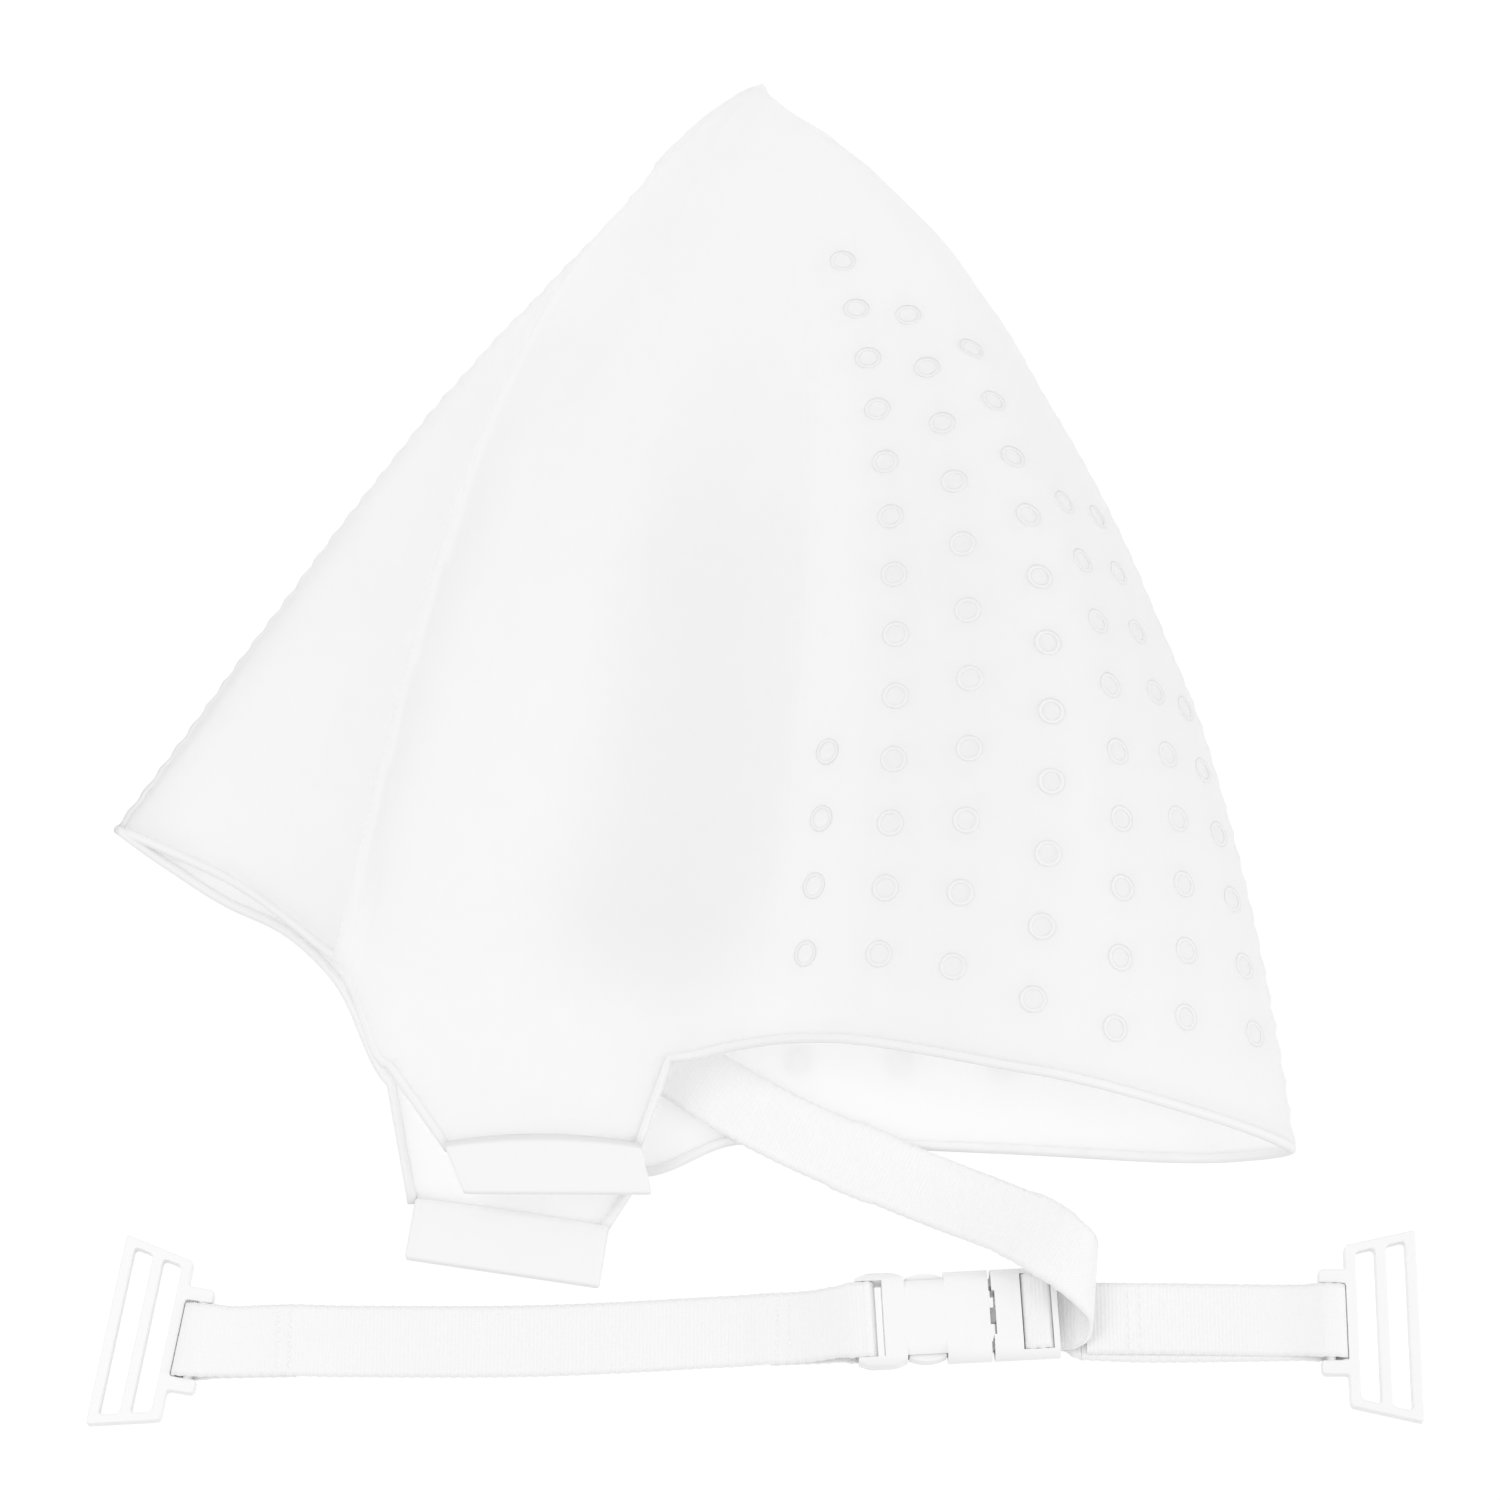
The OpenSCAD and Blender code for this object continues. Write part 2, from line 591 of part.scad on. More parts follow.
// Recess in the middle of the plug's face, deep and half wide, and height of the webbing's way out
face_recess = [0.9, 4.6];
web_way = 2.9;
tongue = [14, 3, 2];
tongue_end = -12;
knuckle_r = 1.4;
knuckle = [1.9, 6.5];
prong_t = buckle_t - 2 * floor_t - 0.8;

module buckle_socket() {
    lobe_x = (window_end + socket_end) / 2;
    color(plastic) placed_buckle() {
        difference() {
            union() {
                round_sided(rail_end, -half_gap, buckle_w);
                round_sided(window_end - 1, rail_end + 0.5, waist_w);
                intersection() {
                    round_sided(socket_end, window_end, lobe_w);
                    for (side = [-1, 1])
                        translate([lobe_x, side * (lobe_w / 2 - lobe_r), 0])
                            cylinder(buckle_t, lobe_r, lobe_r);
                }
            }
            slab(chamber_end, 1, chamber_half, floor_t, buckle_t - floor_t);
            slab(window_end, rail_end, buckle_w, floor_t, buckle_t - floor_t);
            slab(socket_end - 1, -22, bar_half, -1, buckle_t + 1);
        }
        cross_bar(socket_bar, bar_half + 0.4, bar_r);
    }
}

module buckle_plug() {
    color(plastic) placed_buckle() {
        difference() {
            round_sided(half_gap, plug_end, buckle_w);
            slab(0, face_recess.x, face_recess.y, -1, buckle_t + 1);
            slab(plug_wall, plug_slot_end, bar_half, -1, buckle_t + 1);
            slab(plug_slot_end - 1, plug_end + 1, bar_half, -1, web_way);
            for (side = [-1, 1])
                translate([knuckle.x, side * knuckle.y, floor_t]) {
                    cylinder(buckle_t - 2 * floor_t, knuckle_r + 0.06, knuckle_r + 0.06);
                    translate([-3, -1.2, 0])
                        cube([3, 2.4, buckle_t - 2 * floor_t]);
                }
        }
        cross_bar(adjuster_bar, bar_half + 0.4, bar_r);
        translate([tongue_end, -tongue.y / 2, (buckle_t - tongue.z) / 2])
            cube(tongue);
    }
}

// A prong on the side away from the viewer; the other is its mirror image
module prong() {
    arm_w = 1.6;
    arm_l = 16;
    button = [-13.4, 0.6];
    button_r = 8.5;
    button_half = 3.8;
    button_foot = 5.2;
    translate([0, 0, (buckle_t - prong_t) / 2]) {
        translate([knuckle.x, knuckle.y, 0])
            cylinder(prong_t, knuckle_r, knuckle_r);
        translate([-arm_l, knuckle.y - arm_w / 2, 0])
            cube([arm_l + knuckle.x, arm_w, prong_t]);
        intersection() {
            translate([button.x, button.y, 0])
                cylinder(prong_t, button_r, button_r);
            translate([button.x - button_half, button_foot, 0])
                cube([2 * button_half, button_r, prong_t]);
        }
    }
}

module far_prong() {
    color(plastic) placed_buckle() prong();
}

module near_prong() {
    color(plastic) placed_buckle() mirror([0, 1, 0]) prong();
}

cap_shell();
rim_bead();
hole_rings();
near_ear_tab();
far_ear_tab();
left_slot_plate();
right_slot_plate();
left_strap();
left_plate_stitching();
socket_stitching();
buckle_socket();
buckle_plug();
near_prong();
far_prong();
right_strap();
right_plate_loop();
right_plate_stitching();
strap_tail();
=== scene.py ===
# %% [markdown]
# # A silicone highlighting cap and its chin strap
#
# A hairdresser pulls strands of hair through a cap like this one. The cap lies folded on its
# side, with the chin strap that came off it in front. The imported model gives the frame: every
# piece below is made in millimetres, in the same place as the solid that it stands for, and is
# scaled to metres at the very end of its making.

# %% Load the frame
from bisect import bisect_right
from math import cos, exp, pi, radians, sin, sqrt

import bmesh
import bpy
from mathutils import Euler, Matrix, Vector, noise


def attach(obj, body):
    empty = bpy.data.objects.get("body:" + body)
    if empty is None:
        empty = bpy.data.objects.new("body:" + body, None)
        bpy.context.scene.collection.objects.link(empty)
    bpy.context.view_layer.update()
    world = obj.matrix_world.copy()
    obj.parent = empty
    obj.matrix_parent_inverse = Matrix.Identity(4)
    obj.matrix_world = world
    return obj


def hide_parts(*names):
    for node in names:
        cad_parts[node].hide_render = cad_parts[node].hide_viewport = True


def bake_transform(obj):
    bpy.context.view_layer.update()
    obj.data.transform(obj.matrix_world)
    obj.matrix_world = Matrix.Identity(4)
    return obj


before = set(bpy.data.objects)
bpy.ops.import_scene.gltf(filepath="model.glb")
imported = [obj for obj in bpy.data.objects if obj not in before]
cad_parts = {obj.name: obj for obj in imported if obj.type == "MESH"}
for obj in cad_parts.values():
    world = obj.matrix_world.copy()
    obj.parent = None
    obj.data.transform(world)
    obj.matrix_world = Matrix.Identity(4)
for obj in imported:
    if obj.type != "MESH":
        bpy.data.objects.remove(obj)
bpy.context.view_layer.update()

# %% [markdown]
# ## Camera, floor and light
#
# The cap was photographed from above and a little in front, about a metre away, on a white sheet
# that is lit from below as well, as on a light table. So the floor both reflects and glows, and
# glows more for rays that come straight from the camera, which keeps it white while the soft
# shadow still shows. The light is mostly even, from the world. A large soft lamp above and to the
# left gives the folds their shape, and a low one keeps the steep right side from going dark.

# %% Camera
view = bpy.data.cameras.new("photo_view")
view.sensor_width = 36.0
view.lens = 112.0
camera = bpy.data.objects.new("photo_view", view)
camera.location = (-0.0013, -0.34542, 0.93969)
camera.rotation_euler = (radians(20), 0, 0)
bpy.context.scene.collection.objects.link(camera)
bpy.context.scene.camera = camera
bpy.context.scene.view_settings.view_transform = "Standard"
print("camera at", tuple(camera.location))


# %% Helpers for nodes
def wire(tree, source, target):
    tree.links.new(source, target)


def add_node(tree, kind, **values):
    """A node with some of its inputs set, by name."""
    node = tree.nodes.new(kind)
    for name, value in values.items():
        node.inputs[name.replace("_", " ")].default_value = value
    return node


def add_math(tree, operation, *values):
    """A Math node on sockets or numbers. Returns its output socket."""
    node = tree.nodes.new("ShaderNodeMath")
    node.operation = operation
    for socket, value in zip(node.inputs, values):
        if isinstance(value, (int, float)):
            socket.default_value = value
        else:
            wire(tree, value, socket)
    return node.outputs[0]


def neutral(level):
    """A colour between black and white."""
    return (level, level, level, 1)


def seen_directly(tree):
    """1 for rays from the camera and from gloss and glass, 0 for the light that bounces around."""
    path = tree.nodes.new("ShaderNodeLightPath").outputs
    gloss = add_math(tree, "MAXIMUM", path["Is Glossy Ray"], path["Is Transmission Ray"])
    return add_math(tree, "MAXIMUM", path["Is Camera Ray"], gloss)


# %% World
world = bpy.data.worlds.new("white_room")
bpy.context.scene.world = world
world.use_nodes = True
tree = world.node_tree
tree.nodes.clear()
room = add_node(tree, "ShaderNodeBackground", Color=neutral(1), Strength=0.8)
backdrop = add_node(tree, "ShaderNodeBackground", Color=neutral(1), Strength=1.0)
pick = tree.nodes.new("ShaderNodeMixShader")
sky = tree.nodes.new("ShaderNodeOutputWorld")
wire(tree, seen_directly(tree), pick.inputs[0])
wire(tree, room.outputs[0], pick.inputs[1])
wire(tree, backdrop.outputs[0], pick.inputs[2])
wire(tree, pick.outputs[0], sky.inputs[0])
print("world light", room.inputs["Strength"].default_value)


# %% Lamps
def add_lamp(name, watts, size, place):
    """A soft square lamp that points at the object."""
    light = bpy.data.lights.new(name, "AREA")
    light.energy = watts
    light.size = size
    lamp = bpy.data.objects.new(name, light)
    lamp.location = place
    lamp.rotation_euler = (-lamp.location).to_track_quat("-Z", "Y").to_euler()
    bpy.context.scene.collection.objects.link(lamp)
    print(name, watts, "W")


add_lamp("soft_key", 4.5, 0.9, (-0.75, -0.15, 1.3))
add_lamp("low_fill", 3.5, 0.6, (1.3, -0.35, 0.45))

# %% Floor
FLOOR_HALF = 3.0
FLOOR_Z = -0.0002
# How much the paper reflects and glows: for light that bounces around, then for the camera
PAPER = ((0.4, 0.4), (0.15, 0.9))
floor_shape = bmesh.new()
bmesh.ops.create_grid(floor_shape, x_segments=1, y_segments=1, size=FLOOR_HALF)
bmesh.ops.translate(floor_shape, vec=(0, 0, FLOOR_Z), verts=floor_shape.verts)
floor_mesh = bpy.data.meshes.new("floor")
floor_shape.to_mesh(floor_mesh)
floor_shape.free()
floor = bpy.data.objects.new("floor", floor_mesh)
bpy.context.scene.collection.objects.link(floor)

paper = bpy.data.materials.new("white_paper")
paper.use_nodes = True
tree = paper.node_tree
tree.nodes.clear()
pick = tree.nodes.new("ShaderNodeMixShader")
wire(tree, seen_directly(tree), pick.inputs[0])
for socket, (reflected, glow) in zip(pick.inputs[1:], PAPER):
    matt = add_node(tree, "ShaderNodeBsdfDiffuse", Color=neutral(reflected))
    lit = add_node(tree, "ShaderNodeEmission", Color=neutral(1), Strength=glow)
    both = tree.nodes.new("ShaderNodeAddShader")
    wire(tree, matt.outputs[0], both.inputs[0])
    wire(tree, lit.outputs[0], both.inputs[1])
    wire(tree, both.outputs[0], socket)
surface = tree.nodes.new("ShaderNodeOutputMaterial")
wire(tree, pick.outputs[0], surface.inputs[0])
floor_mesh.materials.append(paper)
print("floor", floor.dimensions.x, "m wide")

# %% [markdown]
# ## Finishes
#
# Everything is white: thick and thin silicone, plastic, webbing and thread. Silicone is soft and
# faintly cloudy, and lets light through where it is thin; the plastic is a satin moulding; the
# webbing is woven, so its material follows the length and width of each strap, which are kept in
# its UV map. Cloudiness and fine grain appear on all of them, so they're one shared group with its
# own scale in each material.


# %% Cloud and grain, a shared group
def start_group(name, inputs, outputs):
    """A shader group with its sockets: inputs with their values, outputs with their kinds."""
    group = bpy.data.node_groups.new(name, "ShaderNodeTree")
    for label, value in inputs.items():
        kind = "Float" if isinstance(value, float) else "Color"
        socket = group.interface.new_socket(label, in_out="INPUT", socket_type="NodeSocket" + kind)
        socket.default_value = value
    for label, kind in outputs.items():
        group.interface.new_socket(label, in_out="OUTPUT", socket_type="NodeSocket" + kind)
    return group, group.nodes.new("NodeGroupInput"), group.nodes.new("NodeGroupOutput")


def make_cloud_grain():
    group, given, result = start_group(
        "cloud_and_grain",
        {"Cloud Scale": 30.0, "Grain Scale": 900.0, "Deep": neutral(0.8), "Pale": neutral(0.9)},
        {"Color": "Color", "Mask": "Float", "Height": "Float"})
    place = group.nodes.new("ShaderNodeTexCoord")
    cloud = add_node(group, "ShaderNodeTexNoise", Detail=3.0, Roughness=0.55)
    grain = add_node(group, "ShaderNodeTexNoise", Detail=2.0, Roughness=0.6)
    tint = group.nodes.new("ShaderNodeMix")
    tint.data_type = "RGBA"
    for texture, scale in ((cloud, "Cloud Scale"), (grain, "Grain Scale")):
        wire(group, place.outputs["Object"], texture.inputs["Vector"])
        wire(group, given.outputs[scale], texture.inputs["Scale"])
    wire(group, cloud.outputs["Fac"], tint.inputs["Factor"])
    wire(group, given.outputs["Deep"], tint.inputs["A"])
    wire(group, given.outputs["Pale"], tint.inputs["B"])
    wire(group, tint.outputs["Result"], result.inputs["Color"])
    wire(group, cloud.outputs["Fac"], result.inputs["Mask"])
    wire(group, grain.outputs["Fac"], result.inputs["Height"])
    return group


cloud_grain = make_cloud_grain()
print("group", cloud_grain.name)


# %% A material around that group
def start_material(name, cloud_scale, grain_scale, deep, pale):
    """A Principled material, with the cloud and grain group not yet connected."""
    material = bpy.data.materials.new(name)
    material.use_nodes = True
    tree = material.node_tree
    tree.nodes.clear()
    surface = tree.nodes.new("ShaderNodeOutputMaterial")
    shader = tree.nodes.new("ShaderNodeBsdfPrincipled")
    wire(tree, shader.outputs[0], surface.inputs[0])
    look = tree.nodes.new("ShaderNodeGroup")
    look.node_tree = cloud_grain
    look.inputs["Cloud Scale"].default_value = cloud_scale
    look.inputs["Grain Scale"].default_value = grain_scale
    look.inputs["Deep"].default_value = neutral(deep)
    look.inputs["Pale"].default_value = neutral(pale)
    return material, tree, shader, look


def add_bump(tree, height, shader, strength, distance):
    bump = add_node(tree, "ShaderNodeBump", Strength=strength, Distance=distance)
    wire(tree, height, bump.inputs["Height"])
    wire(tree, bump.outputs["Normal"], shader.inputs["Normal"])


def vary_roughness(tree, look, shader, low, high):
    spread = add_node(tree, "ShaderNodeMapRange", To_Min=low, To_Max=high)
    wire(tree, look.outputs["Mask"], spread.inputs["Value"])
    wire(tree, spread.outputs["Result"], shader.inputs["Roughness"])


# %% [markdown]
# Shade is painted into the silicone's colour along its folds, where less light reaches: in the
# hollows, along the crease and where two layers lie together. Each point of the cap holds how much
# painted shade it has, in an attribute, and the material mixes a grey in by it. Where an attribute
# is missing, as on the bead, it counts as none.


# %% Silicone
def mix_painted_shade(tree, painted_shade_node, grey, target):
    """Feeds `target` with a colour that painted shade turns grey; returns its clean input."""
    tone = tree.nodes.new("ShaderNodeMix")
    tone.data_type = "RGBA"
    wire(tree, painted_shade_node.outputs["Fac"], tone.inputs["Factor"])
    tone.inputs["A"].default_value = neutral(1)
    tone.inputs["B"].default_value = neutral(grey)
    wire(tree, tone.outputs["Result"], target)
    return tone.inputs["A"]


def make_silicone(name, deep, pale, grey):
    material, tree, shader, look = start_material(name, 28.0, 1400.0, deep, pale)
    painted_shade_node = tree.nodes.new("ShaderNodeAttribute")
    painted_shade_node.attribute_name = "painted_shade"
    wire(tree, look.outputs["Color"], mix_painted_shade(tree, painted_shade_node, grey, shader.inputs["Base Color"]))
    vary_roughness(tree, look, shader, 0.42, 0.58)
    add_bump(tree, look.outputs["Height"], shader, 0.06, 0.0002)
    shader.inputs["IOR"].default_value = 1.41
    shader.inputs["Specular IOR Level"].default_value = 0.35
    return material, tree, shader, painted_shade_node


# grey: the colour that the painted shade along the folds turns the silicone to.
thick_silicone, *_ = make_silicone("thick_silicone", deep=0.9, pale=0.92, grey=0.8)
thin_silicone, tree, shader, painted_shade_node = make_silicone("thin_silicone", deep=0.94, pale=0.96, grey=0.91)
print("materials", thick_silicone.name, thin_silicone.name)

# %% [markdown]
# The cap's wall is so thin that much of the light goes through it, which a Translucent shader adds.

# %% Light through the wall
SEE_THROUGH = 0.65
GREY_BEHIND = 0.975
behind = tree.nodes.new("ShaderNodeBsdfTranslucent")
# The light through the wall gets the same painted shade.
mix_painted_shade(tree, painted_shade_node, GREY_BEHIND, behind.inputs["Color"])
wall = tree.nodes.new("ShaderNodeMixShader")
wall.inputs[0].default_value = SEE_THROUGH
wire(tree, shader.outputs[0], wall.inputs[1])
wire(tree, behind.outputs[0], wall.inputs[2])
wire(tree, wall.outputs[0], tree.nodes["Material Output"].inputs[0])
print("light through the wall:", SEE_THROUGH)

# %% Plastic
plastic, tree, shader, look = start_material("satin_plastic", 60.0, 2600.0, deep=0.92, pale=0.935)
wire(tree, look.outputs["Color"], shader.inputs["Base Color"])
vary_roughness(tree, look, shader, 0.28, 0.4)
add_bump(tree, look.outputs["Height"], shader, 0.03, 0.0001)
shader.inputs["IOR"].default_value = 1.49
print("material", plastic.name)

# %% [markdown]
# ## Webbing finish
#
# Narrow polyester webbing has ribs across it, where the weft lies, and fine warp threads along it.
# The ribs are modelled. The finish adds the threads, as two waves on the strap's own UV map,
# which holds metres along and across; they make a bump, and the colour is darkened between them as
# painted shade.


# %% Threads, a shared group
def make_threads():
    group, given, result = start_group(
        "woven_threads", {"Along Pitch": 0.0007, "Across Pitch": 0.0006}, {"Height": "Float"})
    place = group.nodes.new("ShaderNodeUVMap")
    place.uv_map = "strap_uv"
    parts = group.nodes.new("ShaderNodeSeparateXYZ")
    wire(group, place.outputs["UV"], parts.inputs[0])
    waves = []
    for axis, pitch in (("X", "Along Pitch"), ("Y", "Across Pitch")):
        turns = add_math(group, "DIVIDE", parts.outputs[axis], given.outputs[pitch])
        waves.append(add_math(group, "SINE", add_math(group, "MULTIPLY", turns, 2 * pi)))
    crossed = add_math(group, "MULTIPLY", waves[0], waves[1])
    crossed.node.label = "over and under"
    wire(group, add_math(group, "MULTIPLY_ADD", crossed, 0.5, 0.5), result.inputs["Height"])
    return group


threads = make_threads()
print("group", threads.name)


# %% Webbing and thread materials
# Painted shade: between the threads the colour is darkened by this much.
SHADE_BETWEEN_THREADS = 0.97


def make_webbing(name, deep, pale):
    material, tree, shader, look = start_material(name, 120.0, 5000.0, deep, pale)
    weave = tree.nodes.new("ShaderNodeGroup")
    weave.node_tree = threads
    shade = tree.nodes.new("ShaderNodeMix")
    shade.data_type = "RGBA"
    shade.inputs["A"].default_value = neutral(SHADE_BETWEEN_THREADS * deep)
    wire(tree, weave.outputs["Height"], shade.inputs["Factor"])
    wire(tree, look.outputs["Color"], shade.inputs["B"])
    wire(tree, shade.outputs["Result"], shader.inputs["Base Color"])
    add_bump(tree, weave.outputs["Height"], shader, 0.35, 0.0001)
    shader.inputs["Roughness"].default_value = 0.72
    shader.inputs["Sheen Weight"].default_value = 0.15
    return material


webbing = make_webbing("white_webbing", deep=0.935, pale=0.95)
thread, tree, shader, look = start_material("white_thread", 400.0, 6000.0, deep=0.92, pale=0.95)
wire(tree, look.outputs["Color"], shader.inputs["Base Color"])
add_bump(tree, look.outputs["Height"], shader, 0.3, 0.0001)
shader.inputs["Roughness"].default_value = 0.6
print("materials", webbing.name, thread.name)

# %% [markdown]
# ## How a piece is finished
#
# Each piece starts as a bmesh in millimetres. Many are a plain grid whose points are set in place
# one by one, which is how a sheet, a strap or a cord with a known course is made: Blender makes the
# faces, and a rule says where each point goes. `finish_piece` turns the bmesh into an object, at
# the place of the solids that it replaces.

# %% Finish a piece
MM = 0.001


def finish_piece(name, bm, material, nodes, body=None):
    bmesh.ops.scale(bm, vec=(MM, MM, MM), verts=bm.verts)
    mesh = bpy.data.meshes.new(name)
    bm.to_mesh(mesh)
    bm.free()
    mesh.materials.append(material)
    piece = bpy.data.objects.new(name, mesh)
    bpy.context.scene.collection.objects.link(piece)
    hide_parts(*nodes)
    if body:
        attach(piece, body)
    print(name, len(mesh.polygons), "faces")
    return piece


def round_off(bm, geom, size, segments, affect="EDGES"):
    """A round bevel of edges or corners."""
    return bmesh.ops.bevel(bm, geom=geom, offset=size, segments=segments, profile=0.5,
                           affect=affect, material=-1)


def smooth_all(bm):
    for f in bm.faces:
        f.smooth = True
    return bm


def grid_spots(bm, columns, rows):
    """Makes a grid of faces. Lists its points, each with its column and row."""
    made = bmesh.ops.create_grid(bm, x_segments=columns, y_segments=rows, size=0.5)["verts"]
    return [(v, round((v.co.x + 0.5) * columns), round((v.co.y + 0.5) * rows)) for v in made]


def ramp(value, start, length):
    """Rises from 0 at the start to 1 over a length, and stays there."""
    return max(0, min(1, (value - start) / length))


# %% [markdown]
# ## The cap's skin
#
# The cap is a dome of thin silicone that lies on one side, so it has a near layer, a far layer on
# the table and a low front panel. It could be sculpted, but the folds have to stay where the solid
# has them. So it is lofted: lines run from the crown to the rim, and between them the skin follows
# a smooth curve. A line has its place round the rim in millimetres, the point where it meets the
# rim, how far it bows, and its heights.

# %% Lines of the cap
CROWN = Vector((1.3, 153.2, 6.0))
SKIN_Z = 0.6
WALL = 1.2
RIM_LENGTH = 574
FRONT_FOLD_PLACE = 292
MARKS = (0.14, 0.55, 1.0)
ROOT_MARKS = (0.14, 0.55, 0.8, 0.92, 1.0)
NEAR_LINES = (
    (0, (111, -94), 26, (9, 14, 9)),
    (24, (93, -92), 24.5, (16, 32, 27)),
    (62, (57, -87), 22.5, (20, 47, 43)),
    (100, (21, -79), 14.5, (21.5, 43, 38)),
    (119, (3, -75.5), 11.6, (21.3, 36.2, 26)),
    (124, (-2, -75), 10.4, (21.2, 33.6, 21.5)),
    (142, (-18, -76.8), 0, (20.5, 35.6, 29.5, 20.5, 17)),
    (168, (-44, -75.6), -6, (18.5, 41.6, 35.5, 21.5, 17.5)),
    (198, (-75.5, -77.5), -8, (15, 35, 28, 18, 14)))
FAR_LINES = (
    (372, (-76, -78), -8),
    (402, (-50, -91), -6),
    (430, (-24, -97), 0),
    (454, (-3, -90), 6),
    (508, (51, -92), 18),
    (550, (92, -94), 24.5))
# The front panel: place, part of the way from the front fold to the crease, set-back, heights
FRONT_LINES = (
    (218, 1.04, (0, -1), (11.5, 25, 14)),
    (224, 0.97, (0, 1), (10, 16, 9.5)),
    (230, 1.0, (0, 3), (8, 7, 6.5)),
    (238, 0.9, (0, 4), (7.4, 6, 6)),
    (262, 0.5, (2, 4), (6.8, 5.8, 5.4)),
    (282, 0.2, (1.2, 1.6), (6, 5.4, 4.8)),
    (292, 0, (0, 0), (4, 3.2, 2.8)),
    (302, 0.2, (0, 0), None),
    (322, 0.5, (0, 0.6), None),
    (335, 0.74, (0, 3), None),
    (348, 0.98, (0, 0), None))
FRONT_FOLD, FRONT_BOW, FRONT_LEAN = Vector((-136, -22)), -10, 0.6
SIDE_LEAN = 0.15
CREASE_FOOT = Vector((-87, -56))
CREASE_PLACE = 217
CROWN_SPREAD = 0.025
CROWN_ROLL = 0.06
PLACES = [line[0] for line in NEAR_LINES + FRONT_LINES + FAR_LINES]
print(len(PLACES), "lines")


# %% Course of one line
def cubic(a, b, slope_a, slope_b, u):
    return (a * (2 * u**3 - 3 * u**2 + 1) + slope_a * (u**3 - 2 * u**2 + u)
            + b * (3 * u**2 - 2 * u**3) + slope_b * (u**3 - u**2))


def height_along(heights, t):
    """Round at the crown, then smooth through the heights."""
    marks = MARKS if len(heights) == len(MARKS) else ROOT_MARKS
    rise = heights[0] - CROWN.z
    if t < marks[0]:
        return CROWN.z + rise * sqrt(t / marks[0])
    slopes = [rise / (2 * marks[0])]
    for k in range(1, len(marks)):
        after = min(k + 1, len(marks) - 1)
        slopes.append((heights[after] - heights[k - 1]) / (marks[after] - marks[k - 1]))
    slopes[-1] = (heights[-1] - heights[-2]) / (marks[-1] - marks[-2])
    k = min(bisect_right(marks, t) - 1, len(marks) - 2)
    gap = marks[k + 1] - marks[k]
    u = (t - marks[k]) / gap
    return cubic(heights[k], heights[k + 1], slopes[k] * gap, slopes[k + 1] * gap, u)


def far_height(t):
    return SKIN_Z + (CROWN.z - SKIN_Z) * max(0, 1 - sqrt(t / CROWN_ROLL))


def bowed(rim, bow, lean, t):
    """A line from the crown to the rim that bows to its right, more near the crown."""
    start = CROWN.to_2d()
    along = Vector(rim) - start
    side = Vector((-along.y, along.x)).normalized()
    opening = CROWN_SPREAD * (1 - exp(-t / CROWN_SPREAD)) * (1 - t) ** 6
    bend = bow * 4 * t * (1 - t) * (1 + lean * (1 - 2 * t))
    return start + along * t + Vector((along.x * opening, 0)) + side * bend


# How far the two folded edges lie beside that plain bow, at distances from the crown
RIGHT_FOLD = ((0, 0), (0.01, -2), (0.025, -5), (0.04, -5), (0.08, -1.3), (0.12, 0.4), (0.2, 1.6),
              (0.27, 0.4), (0.38, -1.5), (0.57, -1.5), (0.68, -0.3), (1, 0))
LEFT_FOLD = ((0, 0), (0.01, -1), (0.05, -1), (0.11, 0), (0.17, 3), (0.22, 4.5), (0.32, 4.1),
             (0.4, 3), (0.5, 2), (0.7, 1), (0.82, 0.3), (1, 0))
RIGHT_FOLD_PLACES = 140
FOLD_REACH = 80


def fold_nudge(place, t):
    """Sideways, full at a folded edge and fading out over the skin beside it."""
    from_right = min(place, RIM_LENGTH - place)
    if from_right < RIGHT_FOLD_PLACES:
        marks, far = RIGHT_FOLD, from_right
    else:
        marks, far = LEFT_FOLD, abs(place - FRONT_FOLD_PLACE)
    reach = FOLD_REACH + FOLD_REACH * max(0, 1 - t / 0.1)
    weight = (1 + cos(pi * min(1, far / reach))) / 2
    k = min(bisect_right([m[0] for m in marks], t) - 1, len(marks) - 2)
    (t0, a), (t1, b) = marks[k], marks[k + 1]
    u = (t - t0) / (t1 - t0)
    return weight * (a + (b - a) * u * u * (3 - 2 * u))


def panel_spread(t):
    """How far the front panel is open: hardly near the crown, fully at the rim."""
    return 0.1 * min(1, t / 0.2) + 0.9 * max(0, (t - 0.2) / 0.8) ** 1.4


def line_points(t):
    """All lines at one distance from the crown, round the rim."""
    points = []
    for _, rim, bow, heights in NEAR_LINES:
        points.append((*bowed(rim, bow, SIDE_LEAN, t), height_along(heights, t)))
    for _, part, back, heights in FRONT_LINES:
        shift = (CREASE_FOOT - FRONT_FOLD) * part + Vector(back)
        z = height_along(heights, t) if heights else far_height(t)
        at = bowed(FRONT_FOLD, FRONT_BOW, FRONT_LEAN, t) + shift * panel_spread(t)
        points.append((*at, z))
    for _, rim, bow in FAR_LINES:
        points.append((*bowed(rim, bow, SIDE_LEAN, t), far_height(t)))
    return points


# %% The skin between the lines
BROAD_SLACK, BROAD_SIZE = 0.55, 31
FINE_SLACK, FINE_SIZE = 0.16, 12
SLACK_START = 30
LIP_HEIGHT, LIP_TO_FRONT, LIP_TO_BACK = 1.2, 9, 2.5
SCALLOP, SCALLOP_PITCH, SCALLOP_REACH = 0.28, 5.8, 6
FOLD_LENGTHS = ((0, 269), (RIM_LENGTH, 269), (FRONT_FOLD_PLACE, 225))


def held_slope(before, after, rise_before, rise_after):
    """Zero where the skin turns back, so that it never swings past a line."""
    if rise_before * rise_after <= 0:
        return 0
    weight = ((2 * after + before) * before / rise_before
              + (after + 2 * before) * after / rise_after)
    return 3 * (before + after) / weight


